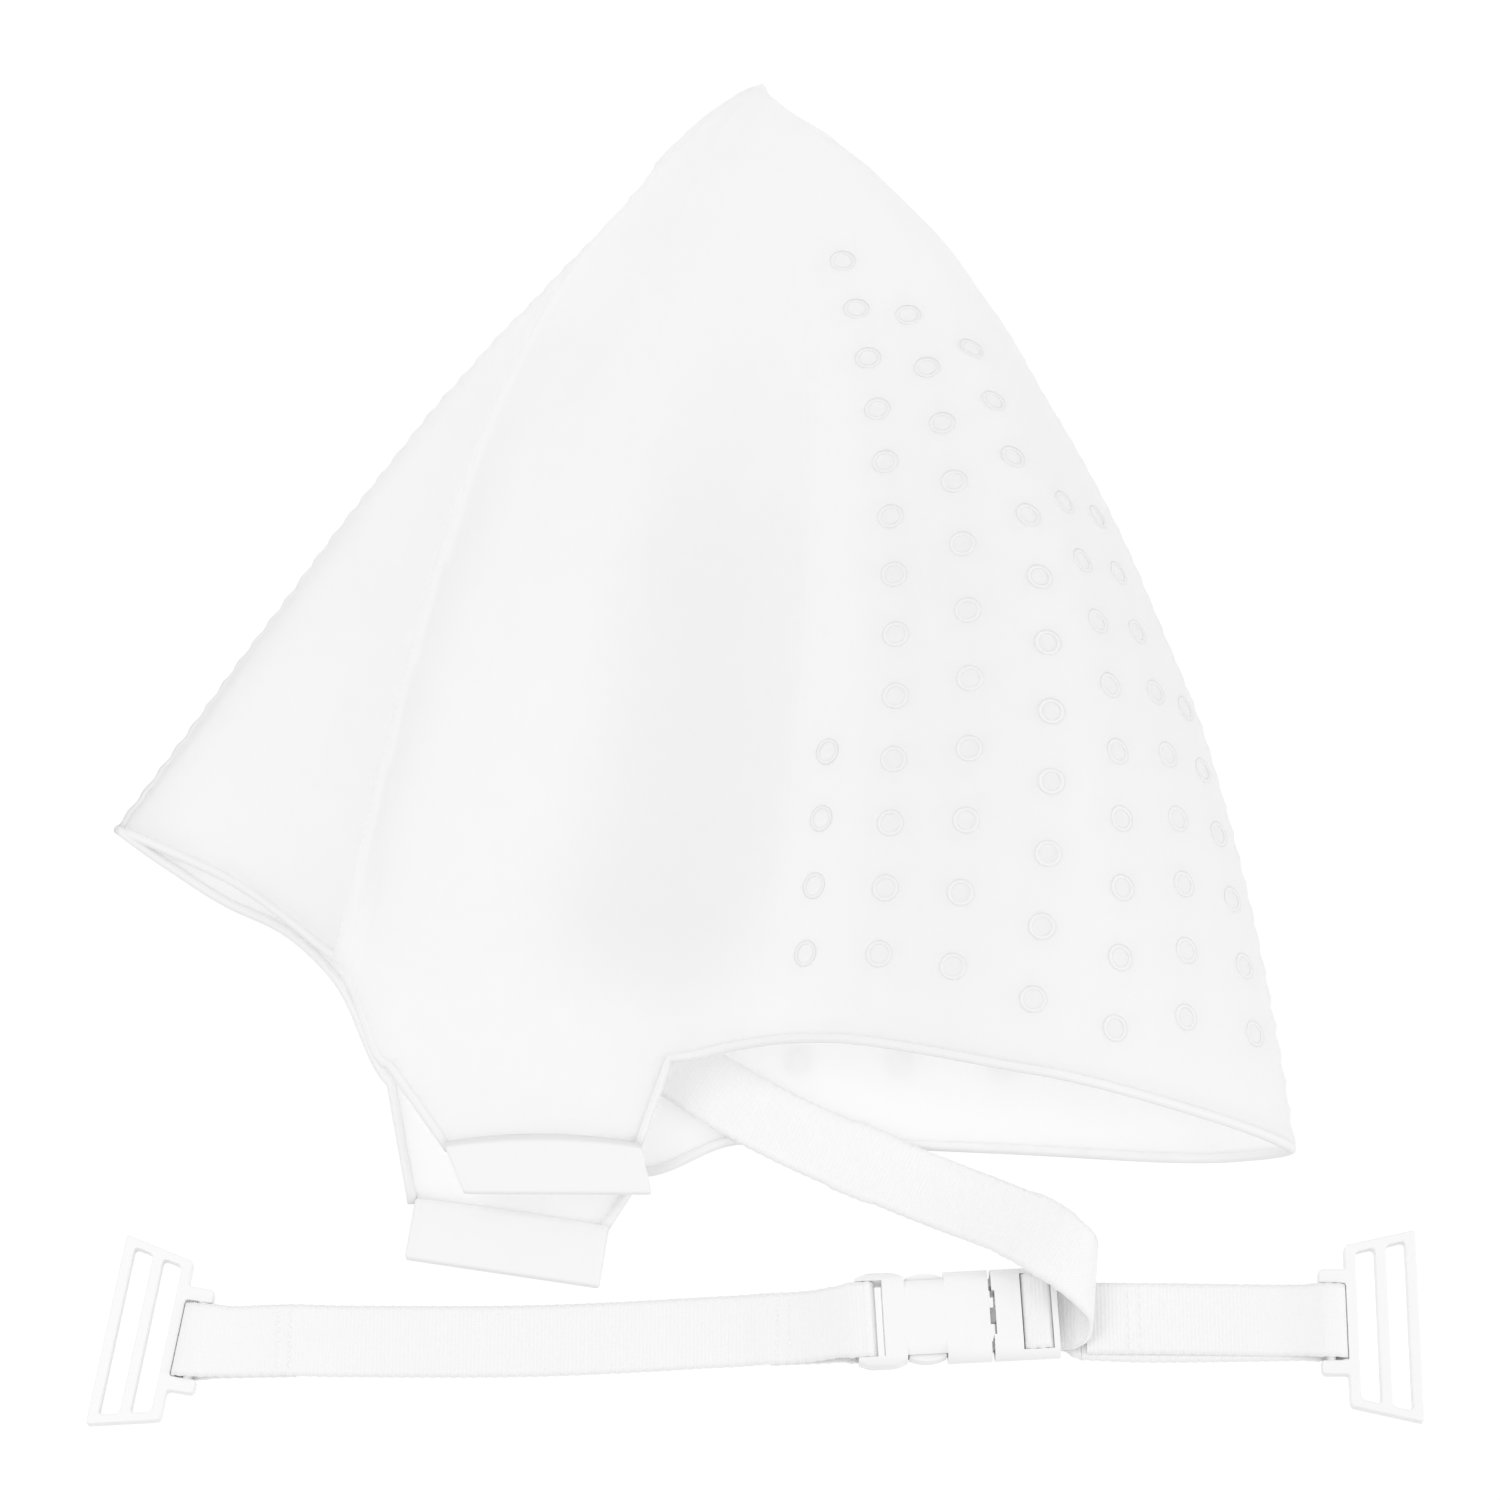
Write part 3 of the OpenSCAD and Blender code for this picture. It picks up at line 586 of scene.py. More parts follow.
def ring_at(t):
    """Points and slopes of all lines at one distance from the crown."""
    points = line_points(t)
    count = len(points)
    gaps = [(PLACES[(i + 1) % count] - PLACES[i]) % RIM_LENGTH for i in range(count)]
    slopes = []
    for i in range(count):
        a, b, c = points[i - 1], points[i], points[(i + 1) % count]
        slopes.append([held_slope(gaps[i - 1], gaps[i], b[k] - a[k], c[k] - b[k])
                       for k in range(3)])
    return points, slopes, gaps


def slack(place, t, x, y):
    """The unevenness of limp silicone, on the near layer only, and the crease's raised lip."""
    from_fold = min(place, FRONT_FOLD_PLACE - place)
    near = ramp(from_fold, 0, SLACK_START) * min(1, t / 0.2)
    broad = noise.noise(Vector((x, y, 0)) / BROAD_SIZE)
    fine = noise.noise(Vector((x, y, 40)) / FINE_SIZE)
    from_crease = place - CREASE_PLACE
    lip_width = LIP_TO_FRONT if from_crease > 0 else LIP_TO_BACK
    lip = LIP_HEIGHT * exp(-(from_crease / lip_width) ** 2) * ramp(t, 0.2, 0.2)
    return near * (BROAD_SLACK * broad + FINE_SLACK * fine) + lip


def scallop(place, t):
    """The small waves along the two folded edges: how far they stand out."""
    for fold, length in FOLD_LENGTHS:
        if abs(place - fold) < SCALLOP_REACH and 0.05 < t < 1:
            fade = (1 + cos(pi * (place - fold) / SCALLOP_REACH)) / 2
            outwards = 1 if fold == FRONT_FOLD_PLACE else -1
            return SCALLOP * fade * cos(2 * pi * t * length / SCALLOP_PITCH) * outwards
    return 0


def on_ring(ring, place, t):
    points, slopes, gaps = ring
    place %= RIM_LENGTH
    i = bisect_right(PLACES, place) - 1
    j = (i + 1) % len(points)
    gap = gaps[i]
    u = (place - PLACES[i]) / gap
    x, y, z = (cubic(points[i][k], points[j][k], slopes[i][k] * gap, slopes[j][k] * gap, u)
               for k in range(3))
    x += fold_nudge(place, t) - scallop(place, t)
    return Vector((x, y, max(z + slack(place, t, x, y), SKIN_Z)))


def skin_point(place, t):
    return on_ring(ring_at(t), place, t)


print("rim at the front:", tuple(round(c, 1) for c in skin_point(FRONT_FOLD_PLACE, 1)))

# %% [markdown]
# Painted shade makes the skin greyest in the hollow beside the ear line, along the crease, at the
# back and along both folded edges. A rule says how much, by the place round the rim and the
# distance from the crown, and every point of the skin's mesh keeps the result for the material.

# %% Painted shade along the folds
HOLLOW_PLACE, HOLLOW_WIDTH = 148, 21
CREASE_EDGE, CREASE_SHIFT, CREASE_WIDTH = 214.5, 4, 7
BACK_PLACE, BACK_GREY = 115, 0.55
BACK_FOLD_GREY, BACK_FOLD_WIDTH = 0.4, 7
FRONT_FOLD_GREY, FRONT_FOLD_WIDTH = 0.7, 6


def painted_shade_at(place, t):
    """How much painted shade the skin has, from 0 to 1."""
    below_crown = ramp(t, 0.28, 0.3)
    above_rim = 1 - ramp(t, 0.89, 0.08)
    hollow = exp(-abs((place - HOLLOW_PLACE) / HOLLOW_WIDTH) ** 3)
    edge = CREASE_EDGE + CREASE_SHIFT * ramp(t, 0.6, 0.25)
    crease = exp(-((edge - place) / CREASE_WIDTH) ** 2) if place < edge else 0
    back = (BACK_GREY * (1 - ramp(place, BACK_PLACE - 20, 20))
            + BACK_FOLD_GREY * exp(-(place / BACK_FOLD_WIDTH) ** 2))
    from_front = (place - FRONT_FOLD_PLACE) / FRONT_FOLD_WIDTH
    front_fold = FRONT_FOLD_GREY * exp(-from_front ** 2) * ramp(t, 0.1, 0.2)
    return max(0, min(1, below_crown * (above_rim * (hollow + crease) + back) + front_fold))


print("grey in the hollow:", round(painted_shade_at(144, 0.7), 2))

# %% [markdown]
# The grid has a column every few millimetres round the rim and rows that close up towards the
# crown. Its first and last columns meet, and its first row is one point, so doubles are merged.
# The two ear flaps are then pulled out of the rim, edge by edge, down to their tabs.

# %% Columns and flaps
FLAP_ROWS = 6
NEAR_FLAP = (142, 168, 198)
NEAR_FLAP_END = (Vector((-24.5, -94.5, 13.6)), Vector((-43, -95, 14)), Vector((-63, -95, 13)))
FAR_FLAP = (372, 402, 430)
FAR_FLAP_END = (Vector((-71, -103.5, SKIN_Z)), Vector((-51, -106.5, SKIN_Z)),
                Vector((-31.5, -109, SKIN_Z)))
SKIN_ROWS = 180
ROW_CROWDING = 1.3
LEAST_COLUMNS = 5
COLUMN_STEP, CREASE_STEP = 3, 1.5


def skin_columns():
    places = []
    for place, following in zip(PLACES, PLACES[1:] + [RIM_LENGTH]):
        wanted = CREASE_STEP if place == NEAR_FLAP[-1] else COLUMN_STEP
        steps = max(LEAST_COLUMNS, round((following - place) / wanted))
        places += [place + (following - place) * s / steps for s in range(steps)]
    return places + [RIM_LENGTH]


def flap_point(place, part):
    """A point of a flap, from the rim (0) to its tab (1)."""
    near = place < FRONT_FOLD_PLACE
    marks, ends = (NEAR_FLAP, NEAR_FLAP_END) if near else (FAR_FLAP, FAR_FLAP_END)
    first = 0 if place < marks[1] else 1
    u = (place - marks[first]) / (marks[first + 1] - marks[first])
    return skin_point(place, 1).lerp(ends[first].lerp(ends[first + 1], u), part)


columns = skin_columns()
print(len(columns), "columns")


# %% Skin mesh
def row_distance(row):
    return (row / SKIN_ROWS) ** ROW_CROWDING


def pull_flap(bm, round_rim, marks):
    """Extrudes the rim's edges between the first and last mark, row by row, to the tab."""
    edges = [e for e in bm.edges if e.is_boundary
             and all(marks[0] - 0.01 < v[round_rim] < marks[-1] + 0.01 for v in e.verts)]
    for row in range(1, FLAP_ROWS + 1):
        made = bmesh.ops.extrude_edge_only(bm, edges=edges)["geom"]
        moved = [g for g in made if isinstance(g, bmesh.types.BMVert)]
        for v in moved:
            v.co = flap_point(v[round_rim], row / FLAP_ROWS)
        edges = [g for g in made if isinstance(g, bmesh.types.BMEdge)
                 and all(v in moved for v in g.verts)]


def make_skin():
    bm = bmesh.new()
    round_rim = bm.verts.layers.float.new("round_rim")
    painted_shade = bm.verts.layers.float.new("painted_shade")
    rings = [ring_at(row_distance(row)) for row in range(SKIN_ROWS + 1)]
    for v, column, row in grid_spots(bm, len(columns) - 1, SKIN_ROWS):
        v[round_rim] = columns[column]
        # Painted shade, kept on each point for the material.
        v[painted_shade] = painted_shade_at(columns[column], row_distance(row))
        v.co = on_ring(rings[row], columns[column], row_distance(row))
    bmesh.ops.remove_doubles(bm, verts=bm.verts, dist=0.001)
    for marks in (NEAR_FLAP, FAR_FLAP):
        pull_flap(bm, round_rim, marks)
    bmesh.ops.recalc_face_normals(bm, faces=bm.faces)
    top = max(bm.faces, key=lambda f: f.calc_center_median().z)
    if top.normal.z < 0:
        bmesh.ops.reverse_faces(bm, faces=bm.faces)
    return bm


cap_skin = finish_piece("cap_skin", smooth_all(make_skin()), thin_silicone,
                        ["cap_shell"], "cap")
thickness = cap_skin.modifiers.new("wall", "SOLIDIFY")
thickness.thickness = WALL * MM
thickness.offset = -1

# %% [markdown]
# ## The rim bead
#
# A thicker bead runs round the opening, so that the rim doesn't tear. It's a round cord along the
# edge of the skin and the sides of the flaps, in two lengths from tab to tab. A curve with a bevel
# could do this; here a grid is wrapped round the course, so that its turn stays level with the
# skin.

# %% Course of the bead
BEAD_R = 1.1
BEAD_SIDES = 8
BEAD_STEP = 2.5
BEAD_DEPTH = 0.85


def inward(place, t):
    """Direction into the cap, square to the skin."""
    step = 0.01
    down = skin_point(place, t) - skin_point(place, t - step)
    across = skin_point(place + 1, t) - skin_point(place - 1, t)
    return down.cross(across).normalized()


def bead_course(near_edge, far_edge, way_round):
    """Stations from the near tab to the far one, each with the direction into the cap."""
    parts = [1 - k / FLAP_ROWS for k in range(FLAP_ROWS)]
    stations = [(flap_point(near_edge, part), inward(near_edge, 1)) for part in parts]
    count = round(abs(way_round) / BEAD_STEP)
    for k in range(count + 1):
        place = (near_edge + way_round * k / count) % RIM_LENGTH
        stations.append((skin_point(place, 1), inward(place, 1)))
    stations += [(flap_point(far_edge, part), inward(far_edge, 1)) for part in reversed(parts)]
    return [(point + way * BEAD_DEPTH, way) for point, way in stations]


def wrap_cord(bm, stations, radius, sides):
    last = len(stations) - 1
    spots = grid_spots(bm, last, sides)
    for v, column, row in spots:
        point, way = stations[column]
        along = stations[min(column + 1, last)][0] - stations[max(column - 1, 0)][0]
        along.normalize()
        out = (way - along * way.dot(along)).normalized()
        turn = 2 * pi * row / sides
        v.co = point + radius * (out * cos(turn) + along.cross(out) * sin(turn))
    bmesh.ops.remove_doubles(bm, verts=[v for v, _, _ in spots], dist=0.001)


bead = bmesh.new()
for near_edge, far_edge, way_round in (
        (NEAR_FLAP[-1], FAR_FLAP[0], FAR_FLAP[0] - NEAR_FLAP[-1]),
        (NEAR_FLAP[0], FAR_FLAP[-1], FAR_FLAP[-1] - RIM_LENGTH - NEAR_FLAP[0])):
    wrap_cord(bead, bead_course(near_edge, far_edge, way_round), BEAD_R, BEAD_SIDES)
bmesh.ops.holes_fill(bead, edges=bead.edges)
bmesh.ops.recalc_face_normals(bead, faces=bead.faces)
finish_piece("cap_rim_bead", smooth_all(bead), thick_silicone, ["rim_bead"], "cap")

# %% [markdown]
# ## The rings
#
# Small raised rings mark where the hook goes through. One ring is a spun wire of few faces, because
# there are more than a hundred of them; each copy is turned to stand on the skin.

# %% One ring and its copies
RING_R = 2.4
RING_WIRE = 0.65
RING_STEPS = 14
RING_FLATNESS = 0.35
RING_FOOT = -0.03
# First ring, last ring and how many. A ring has the number of its line, with the part of the way to
# the next line, and its distance from the crown.
RING_COLUMNS = (
    ((0.45, 0.664), (0.5, 0.925), 6),
    ((0.7, 0.5), (1.15, 0.93), 9),
    ((1.25, 0.5), (1.6, 0.955), 9),
    ((1.67, 0.345), (2.07, 0.945), 11),
    ((2.33, 0.304), (2.53, 0.928), 11),
    ((2.9, 0.237), (2.95, 0.925), 13),
    ((3.6, 0.743), (3.6, 0.925), 4),
    ((8.3, 0.5), (8.3, 0.925), 8),
    ((7.85, 0.42), (7.85, 0.93), 9),
    ((7.4, 0.35), (7.4, 0.93), 10),
    ((7, 0.3), (7, 0.93), 11),
    ((6.6, 0.3), (6.6, 0.93), 11),
    ((6.2, 0.62), (6.2, 0.93), 5))
RING_LINE_PLACES = (0, 24, 62, 100, 124, 430, 454, 508, 550, 574)


def ring_spots():
    for (first, t0), (last, t1), count in RING_COLUMNS:
        for k in range(count):
            u = k / (count - 1)
            number = first + (last - first) * u
            line = int(number)
            a, b = RING_LINE_PLACES[line], RING_LINE_PLACES[line + 1]
            yield a + (b - a) * (number - line), t0 + (t1 - t0) * u


def make_ring():
    bm = bmesh.new()
    wire_end = bmesh.ops.create_circle(bm, segments=4, radius=RING_WIRE)["verts"]
    bmesh.ops.rotate(bm, verts=wire_end, matrix=Matrix.Rotation(radians(45), 3, "Z"))
    bmesh.ops.rotate(bm, verts=wire_end, matrix=Matrix.Rotation(radians(90), 3, "X"))
    bmesh.ops.translate(bm, verts=wire_end, vec=(RING_R, 0, 0))
    bmesh.ops.spin(bm, geom=bm.edges[:], axis=(0, 0, 1), angle=2 * pi,
                   steps=RING_STEPS, use_merge=True)
    bmesh.ops.remove_doubles(bm, verts=bm.verts, dist=0.001)
    bmesh.ops.scale(bm, vec=(1, 1, RING_FLATNESS), verts=bm.verts)
    for v in bm.verts:
        v.co.z = max(v.co.z, RING_FOOT)
    bmesh.ops.recalc_face_normals(bm, faces=bm.faces)
    mesh = bpy.data.meshes.new("one_ring")
    bm.to_mesh(mesh)
    bm.free()
    return mesh


one_ring = make_ring()
rings = bmesh.new()
for place, t in ring_spots():
    first_new = len(rings.verts)
    rings.from_mesh(one_ring)
    rings.verts.ensure_lookup_table()
    stand = (-inward(place, t)).to_track_quat("Z", "Y").to_matrix()
    bmesh.ops.transform(rings, matrix=Matrix.Translation(skin_point(place, t)) @ stand.to_4x4(),
                        verts=rings.verts[first_new:])
finish_piece("cap_rings", smooth_all(rings), thick_silicone, ["hole_rings"], "cap")

# %% [markdown]
# ## The ear tabs
#
# Each ear flap ends in a thick cross bar that the slot plates of the chin strap hook onto. A bar is
# a cube with a rounded top and softened edges, arched a little because the silicone is limp.


# %% Tabs
TAB_LENGTH = 40.5
TAB_EDGE = 0.7
TAB_CUTS = 11


def sharp_edges(bm):
    return [e for e in bm.edges if e.calc_face_angle(0) > radians(60)]


def make_tab(height, thick, turn, at, arch, shear=0, taper=0, grey=0):
    bm = bmesh.new()
    painted_shade = bm.verts.layers.float.new("painted_shade")
    bmesh.ops.create_cube(bm, size=1)
    bmesh.ops.scale(bm, vec=(TAB_LENGTH, height, thick), verts=bm.verts)
    top_edge = [e for e in bm.edges if all(v.co.y > 0 and v.co.z > 0 for v in e.verts)]
    round_off(bm, top_edge, thick / 2, 4)
    round_off(bm, sharp_edges(bm), TAB_EDGE, 3)
    lengthwise = [e for e in bm.edges if abs(e.verts[0].co.x - e.verts[1].co.x) > TAB_LENGTH / 2]
    bmesh.ops.subdivide_edges(bm, edges=lengthwise, cuts=TAB_CUTS, use_grid_fill=True)
    for v in bm.verts:
        up = v.co.y / height + 0.5
        # The rounded top of a bar gets painted shade, as much as `grey` says.
        v[painted_shade] = grey if v.co.z > 0 and v.co.y > (height - thick) / 2 + 0.05 else 0
        v.co.x += taper * (1 - up) * (0.5 - v.co.x / TAB_LENGTH)
        v.co.y -= arch * up * (2 * v.co.x / TAB_LENGTH) ** 2
        v.co.x -= shear * up
    bmesh.ops.rotate(bm, matrix=Euler([radians(a) for a in turn]).to_matrix(), verts=bm.verts)
    bmesh.ops.translate(bm, vec=at, verts=bm.verts)
    bmesh.ops.recalc_face_normals(bm, faces=bm.faces)
    return smooth_all(bm)


# The near bar's rounded top is painted fully shaded.
near_bar = make_tab(height=12.4, thick=4.0, turn=(8, 1, 0), at=(-41.6, -98.2, 12.9),
                    arch=1.8, shear=2.4, taper=2, grey=1)
far_bar = make_tab(height=13.4, thick=3.2, turn=(0, 0, -8.6), at=(-51.3, -111.8, 1.6), arch=0.3)
finish_piece("near_tab", near_bar, thick_silicone, ["near_ear_tab"], "cap")
finish_piece("far_tab", far_bar, thick_silicone, ["far_ear_tab"], "cap")

# %% [markdown]
# ## The webbing
#
# The strap is flat woven webbing. Its courses are those of the solids: round the neck bar of each
# plate, round the buckle's bars, and a tail that curls over and slips under the cap. A course is a
# few stations, each with the direction of the strap's width. Between them it runs as a smooth
# curve, and a grid is wrapped round it, with ribs across the faces and a firm edge along each side.

# %% Courses
WEB_W = 15.0
WEB_T = 1.0
WEB_FLAT = 0.55
WEB_SECOND = 1.68
ACROSS = Vector((0, 1, 0))
LEFT_TURN = radians(9.5)
LEFT_ACROSS = Vector((sin(LEFT_TURN), cos(LEFT_TURN), 0))
BUCKLE_TURN = radians(3)
BUCKLE_ACROSS = Vector((-sin(BUCKLE_TURN), cos(BUCKLE_TURN), 0))
BUCKLE_AT = Vector((47.9, -127.8, 0))
LEFT_NECK = Vector((-114.7, -132.75, 2.2))
RIGHT_NECK = Vector((117.3, -128.8, 2.2))
SOCKET_BAR = (-26, 3.5)
ADJUSTER_BAR = (9.4, 4.2)
NECK_LOOP = 1.65
LOOP_SLACK = 1.4
LEFT_LOOP = (LEFT_NECK + LOOP_SLACK * Vector((-LEFT_ACROSS.y, LEFT_ACROSS.x, 0))
             - 0.2 * LEFT_ACROSS)
RIGHT_LOOP = RIGHT_NECK + Vector((LOOP_SLACK, 0.1, 0))
BAR_LOOP = (2.0, 2.9)
ADJUSTER_LOOP = (2.5, 2.3)
SQUARENESS = 6.0


def on_buckle(x, z):
    return BUCKLE_AT + Vector((x * cos(BUCKLE_TURN), x * sin(BUCKLE_TURN), z))


def round_neck(middle, across, angles):
    """A turn about an axis along `across`."""
    stations = []
    for a in angles:
        reach, rise = NECK_LOOP * cos(radians(a)), NECK_LOOP * sin(radians(a))
        stations.append((middle + Vector((reach * across.y, -reach * across.x, rise)), across))
    return stations


def round_bar(bar, wide, high, angles):
    """A turn about a bar of the buckle, squarer than round, so that the webbing fills its slot."""
    stations = []
    for a in angles:
        x, z = cos(radians(a)), sin(radians(a))
        square = (abs(x) ** SQUARENESS + abs(z) ** SQUARENESS) ** (-1 / SQUARENESS)
        at = on_buckle(bar[0] + wide * square * x, bar[1] + high * square * z)
        stations.append((at, BUCKLE_ACROSS))
    return stations


def lay(across, *points):
    return [(Vector(p), across) for p in points]


def tilt(x, y):
    return Vector((x, y, 0)).normalized()


left_course = (
    lay(ACROSS, (-94, -132.4, WEB_FLAT)) + lay(tilt(0.08, 1), (-103, -132.6, WEB_FLAT))
    + lay(LEFT_ACROSS, (-108, -132.8, WEB_FLAT), (-112, -132.9, WEB_FLAT))
    + round_neck(LEFT_LOOP, LEFT_ACROSS, range(270, 60, -30))
    + lay(LEFT_ACROSS, (-113.5, -132.86, 3.85), (-111.4, -132.9, 3.2), (-107.4, -132.8, 2.1))
    + lay(tilt(0.08, 1), (-103, -132.6, WEB_SECOND))
    + lay(ACROSS, (-95, -132.4, WEB_SECOND), (-90, -132.4, 1.1), (-86, -132.4, WEB_FLAT),
          (-60, -132.5, WEB_FLAT), (-44, -132.3, WEB_FLAT), (-27, -131.6, WEB_FLAT),
          (-10, -130.6, WEB_FLAT), (-3, -130.3, 0.8), (2, -130.1, WEB_SECOND),
          (7, -129.9, WEB_SECOND + 0.1), (11, -129.8, 2.7))
    + lay(BUCKLE_ACROSS, (16, -129.5, 4.9), (19.3, -129.3, 6.1))
    + round_bar(SOCKET_BAR, *BAR_LOOP, range(90, -120, -30))
    + lay(BUCKLE_ACROSS, (18, -129.4, 1.1))
    + lay(ACROSS, (13, -129.7, 0.65), (7, -129.9, WEB_FLAT), (3, -130.1, WEB_FLAT)))
right_loop_course = (
    lay(ACROSS, (66.5, -128.9, WEB_FLAT), (80, -129.4, WEB_FLAT), (113, -129, WEB_FLAT))
    + round_neck(RIGHT_LOOP, ACROSS, range(270, 480, 30))
    + lay(ACROSS, (116.1, -128.65, 3.85), (114, -128.6, 3.2), (110, -128.4, 2.1),
          (106, -128.3, WEB_SECOND), (85, -128, WEB_SECOND), (67.5, -127.9, WEB_SECOND)))
right_course = (
    lay(ACROSS, (66.45, -128.9, WEB_FLAT), (64.6, -128.2, WEB_FLAT))
    + lay(BUCKLE_ACROSS, on_buckle(14.6, WEB_FLAT), on_buckle(12.4, WEB_FLAT),
          on_buckle(10.2, 0.8), on_buckle(8.2, 1.7))
    + round_bar(ADJUSTER_BAR, *ADJUSTER_LOOP, range(225, 149, -15)))
tail_course = (
    round_bar(ADJUSTER_BAR, *ADJUSTER_LOOP, range(160, 9, -15))
    + lay(BUCKLE_ACROSS, on_buckle(11.9, 3.4), on_buckle(12.3, 2.4), on_buckle(13.2, 1.95),
          on_buckle(14.6, 1.9))
    + lay(ACROSS, (65, -127, 2.4)) + lay(tilt(0.05, 1), (68, -125.5, 4.6))
    + lay(tilt(0.1, 1), (68.6, -122.5, 8)) + lay(tilt(0.35, 0.94), (66.4, -119.5, 11.2))
    + lay(tilt(0.55, 0.83), (62, -116, 12.2)) + lay(tilt(0.6, 0.8), (56.5, -111.8, 11))
    + lay(tilt(0.52, 0.85), (50.5, -108.4, 8.6)) + lay(tilt(0.43, 0.9), (40, -103.4, 5.4))
    + lay(tilt(0.4, 0.92), (26, -97.2, 4)) + lay(tilt(0.43, 0.9), (9, -89.6, 3.6))
    + lay(tilt(0.5, 0.87), (-6, -81.4, 3.6)) + lay(tilt(0.55, 0.83), (-17.5, -73.8, 3.6)))
print(len(left_course), len(right_course), len(tail_course), "stations")


# %% Smooth course
CURVE_STEPS = 16


def smooth_course(course, step):
    """The course as a curve through its stations, cut into equal steps: point, across, distance."""
    dense = []
    last = len(course) - 1
    for i in range(last):
        a, b, c, d = (course[max(0, min(last, i + k))] for k in (-1, 0, 1, 2))
        gap = (c[0] - b[0]).length
        slope_b = (c[0] - a[0]) * gap / ((c[0] - b[0]).length + (b[0] - a[0]).length)
        slope_c = (d[0] - b[0]) * gap / ((d[0] - c[0]).length + (c[0] - b[0]).length)
        for s in range(CURVE_STEPS):
            u = s / CURVE_STEPS
            across = b[1].lerp(c[1], u).normalized()
            dense.append((cubic(b[0], c[0], slope_b, slope_c, u), across))
    dense.append(course[-1])
    distance = [0.0]
    for (p, _), (q, _) in zip(dense, dense[1:]):
        distance.append(distance[-1] + (q - p).length)
    count = round(distance[-1] / step)
    stations = []
    for k in range(count + 1):
        s = distance[-1] * k / count
        i = min(bisect_right(distance, s) - 1, len(dense) - 2)
        u = (s - distance[i]) / (distance[i + 1] - distance[i])
        (point, across), (next_point, next_across) = dense[i], dense[i + 1]
        stations.append((point.lerp(next_point, u), across.lerp(next_across, u), s))
    return stations


# %% Webbing mesh
RIB = 0.8
RIB_STEPS = 4
RIB_DEPTH = 0.045
EDGE_LOOP = 2.1
SELVEDGE = 0.12
FACE_WIDTH = 0.985
ACROSS_STEPS = 12
# Where the webbing turns about a bar, and how much wider it gets there on each side
SPREADS = ((LEFT_NECK.x, 0.25), (on_buckle(*SOCKET_BAR).x, 0.42),
           (on_buckle(*ADJUSTER_BAR).x, 0.42), (RIGHT_NECK.x, 0.25))


def rib_strength(x):
    """Ribs fade out on the last stretch at each plate, where the webbing is pulled tight."""
    from_neck = min(x - LEFT_NECK.x, RIGHT_NECK.x - x)
    return 0.25 + 0.75 * ramp(from_neck, 13, 6)


def slot_spread(point):
    """Webbing spreads to the full width of its slot where it turns about a bar."""
    return max(most * (1 - ramp(abs(point.x - x), 3, 2)) for x, most in SPREADS)


def make_strap(course):
    stations = smooth_course(course, RIB / RIB_STEPS)
    last = len(stations) - 1
    half_w, half_t = WEB_W / 2, WEB_T / 2
    # One turn round the section: across and up, as parts of half the width and thickness
    face = [(-1 + 2 * k / ACROSS_STEPS) * FACE_WIDTH for k in range(ACROSS_STEPS + 1)]
    section = [(c, 1) for c in face] + [(1, 0)] + [(c, -1) for c in reversed(face)] + [(-1, 0)]
    bm = bmesh.new()
    strap_uv = bm.loops.layers.uv.new("strap_uv")
    spot = {v: (column, section[row % len(section)])
            for v, column, row in grid_spots(bm, last, len(section))}
    for f in bm.faces:
        for loop in f.loops:
            column, (across, _) = spot[loop.vert]
            loop[strap_uv].uv = (stations[column][2] * MM, across * half_w * MM)
    for v, (column, (across, up)) in spot.items():
        point, side, s = stations[column]
        along = stations[min(column + 1, last)][0] - stations[max(column - 1, 0)][0]
        out = along.cross(side).normalized()
        rib = 1 - RIB_DEPTH * rib_strength(point.x) * (1 - cos(2 * pi * s / RIB)) / half_t
        loop_edge = SELVEDGE * (1 + cos(2 * pi * s / EDGE_LOOP)) / 2 if up == 0 else 0
        reach = half_w - SELVEDGE + loop_edge + slot_spread(point)
        v.co = point + side * across * reach + out * up * half_t * rib
    bmesh.ops.remove_doubles(bm, verts=bm.verts, dist=0.001)
    bmesh.ops.holes_fill(bm, edges=bm.edges)
    bmesh.ops.recalc_face_normals(bm, faces=bm.faces)
    return smooth_all(bm)


for name, course, node, body in (
        ("left_webbing", left_course, "left_strap", "socket"),
        ("right_loop_webbing", right_loop_course, "right_plate_loop", "right_loop"),
        ("tail_webbing", tail_course, "strap_tail", "plug")):
    finish_piece(name, make_strap(course), webbing, [node], body)

# %% [markdown]
# The stretch between the adjuster and the loop is attached to neither the plug nor the loop; its
# place is baked into its points.

# %% Stretch between buckle and loop
right_webbing = finish_piece("right_webbing", make_strap(right_course), webbing,
                             ["right_strap"])
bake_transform(right_webbing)

# %% [markdown]
# ## Stitching
#
# Two short rows of thread close each sewn loop. A stitch is a small rounded bead of thread that
# lies on the upper layer and another that shows below, so a squashed sphere is enough.


# %% Stitches
STITCH_ROWS = (0.25, 2.75)
STITCHES = 6
STITCH_PITCH = 2.1
STITCH_HALF = (0.25, 0.72)
# Height and half thickness of the thread on top and below
STITCH_LAYERS = ((WEB_SECOND + WEB_T / 2, 0.22), (0.25, 0.2))


def make_stitches(x, y):
    bm = bmesh.new()
    for row in STITCH_ROWS:
        for k in range(STITCHES):
            beside = y + (k - (STITCHES - 1) / 2) * STITCH_PITCH
            for z, half_height in STITCH_LAYERS:
                made = bmesh.ops.create_uvsphere(bm, u_segments=8, v_segments=6, radius=1)["verts"]
                bmesh.ops.scale(bm, vec=(*STITCH_HALF, half_height), verts=made)
                bmesh.ops.translate(bm, vec=(x + row, beside, z), verts=made)
    return smooth_all(bm)


for name, node, at, body in (
        ("left_plate_thread", "left_plate_stitching", (-98, -132.4), "socket"),
        ("socket_thread", "socket_stitching", (4, -130), "socket"),
        ("right_plate_thread", "right_plate_stitching", (76, -128.5), "right_loop")):
    finish_piece(name, make_stitches(*at), thread, [node], body)

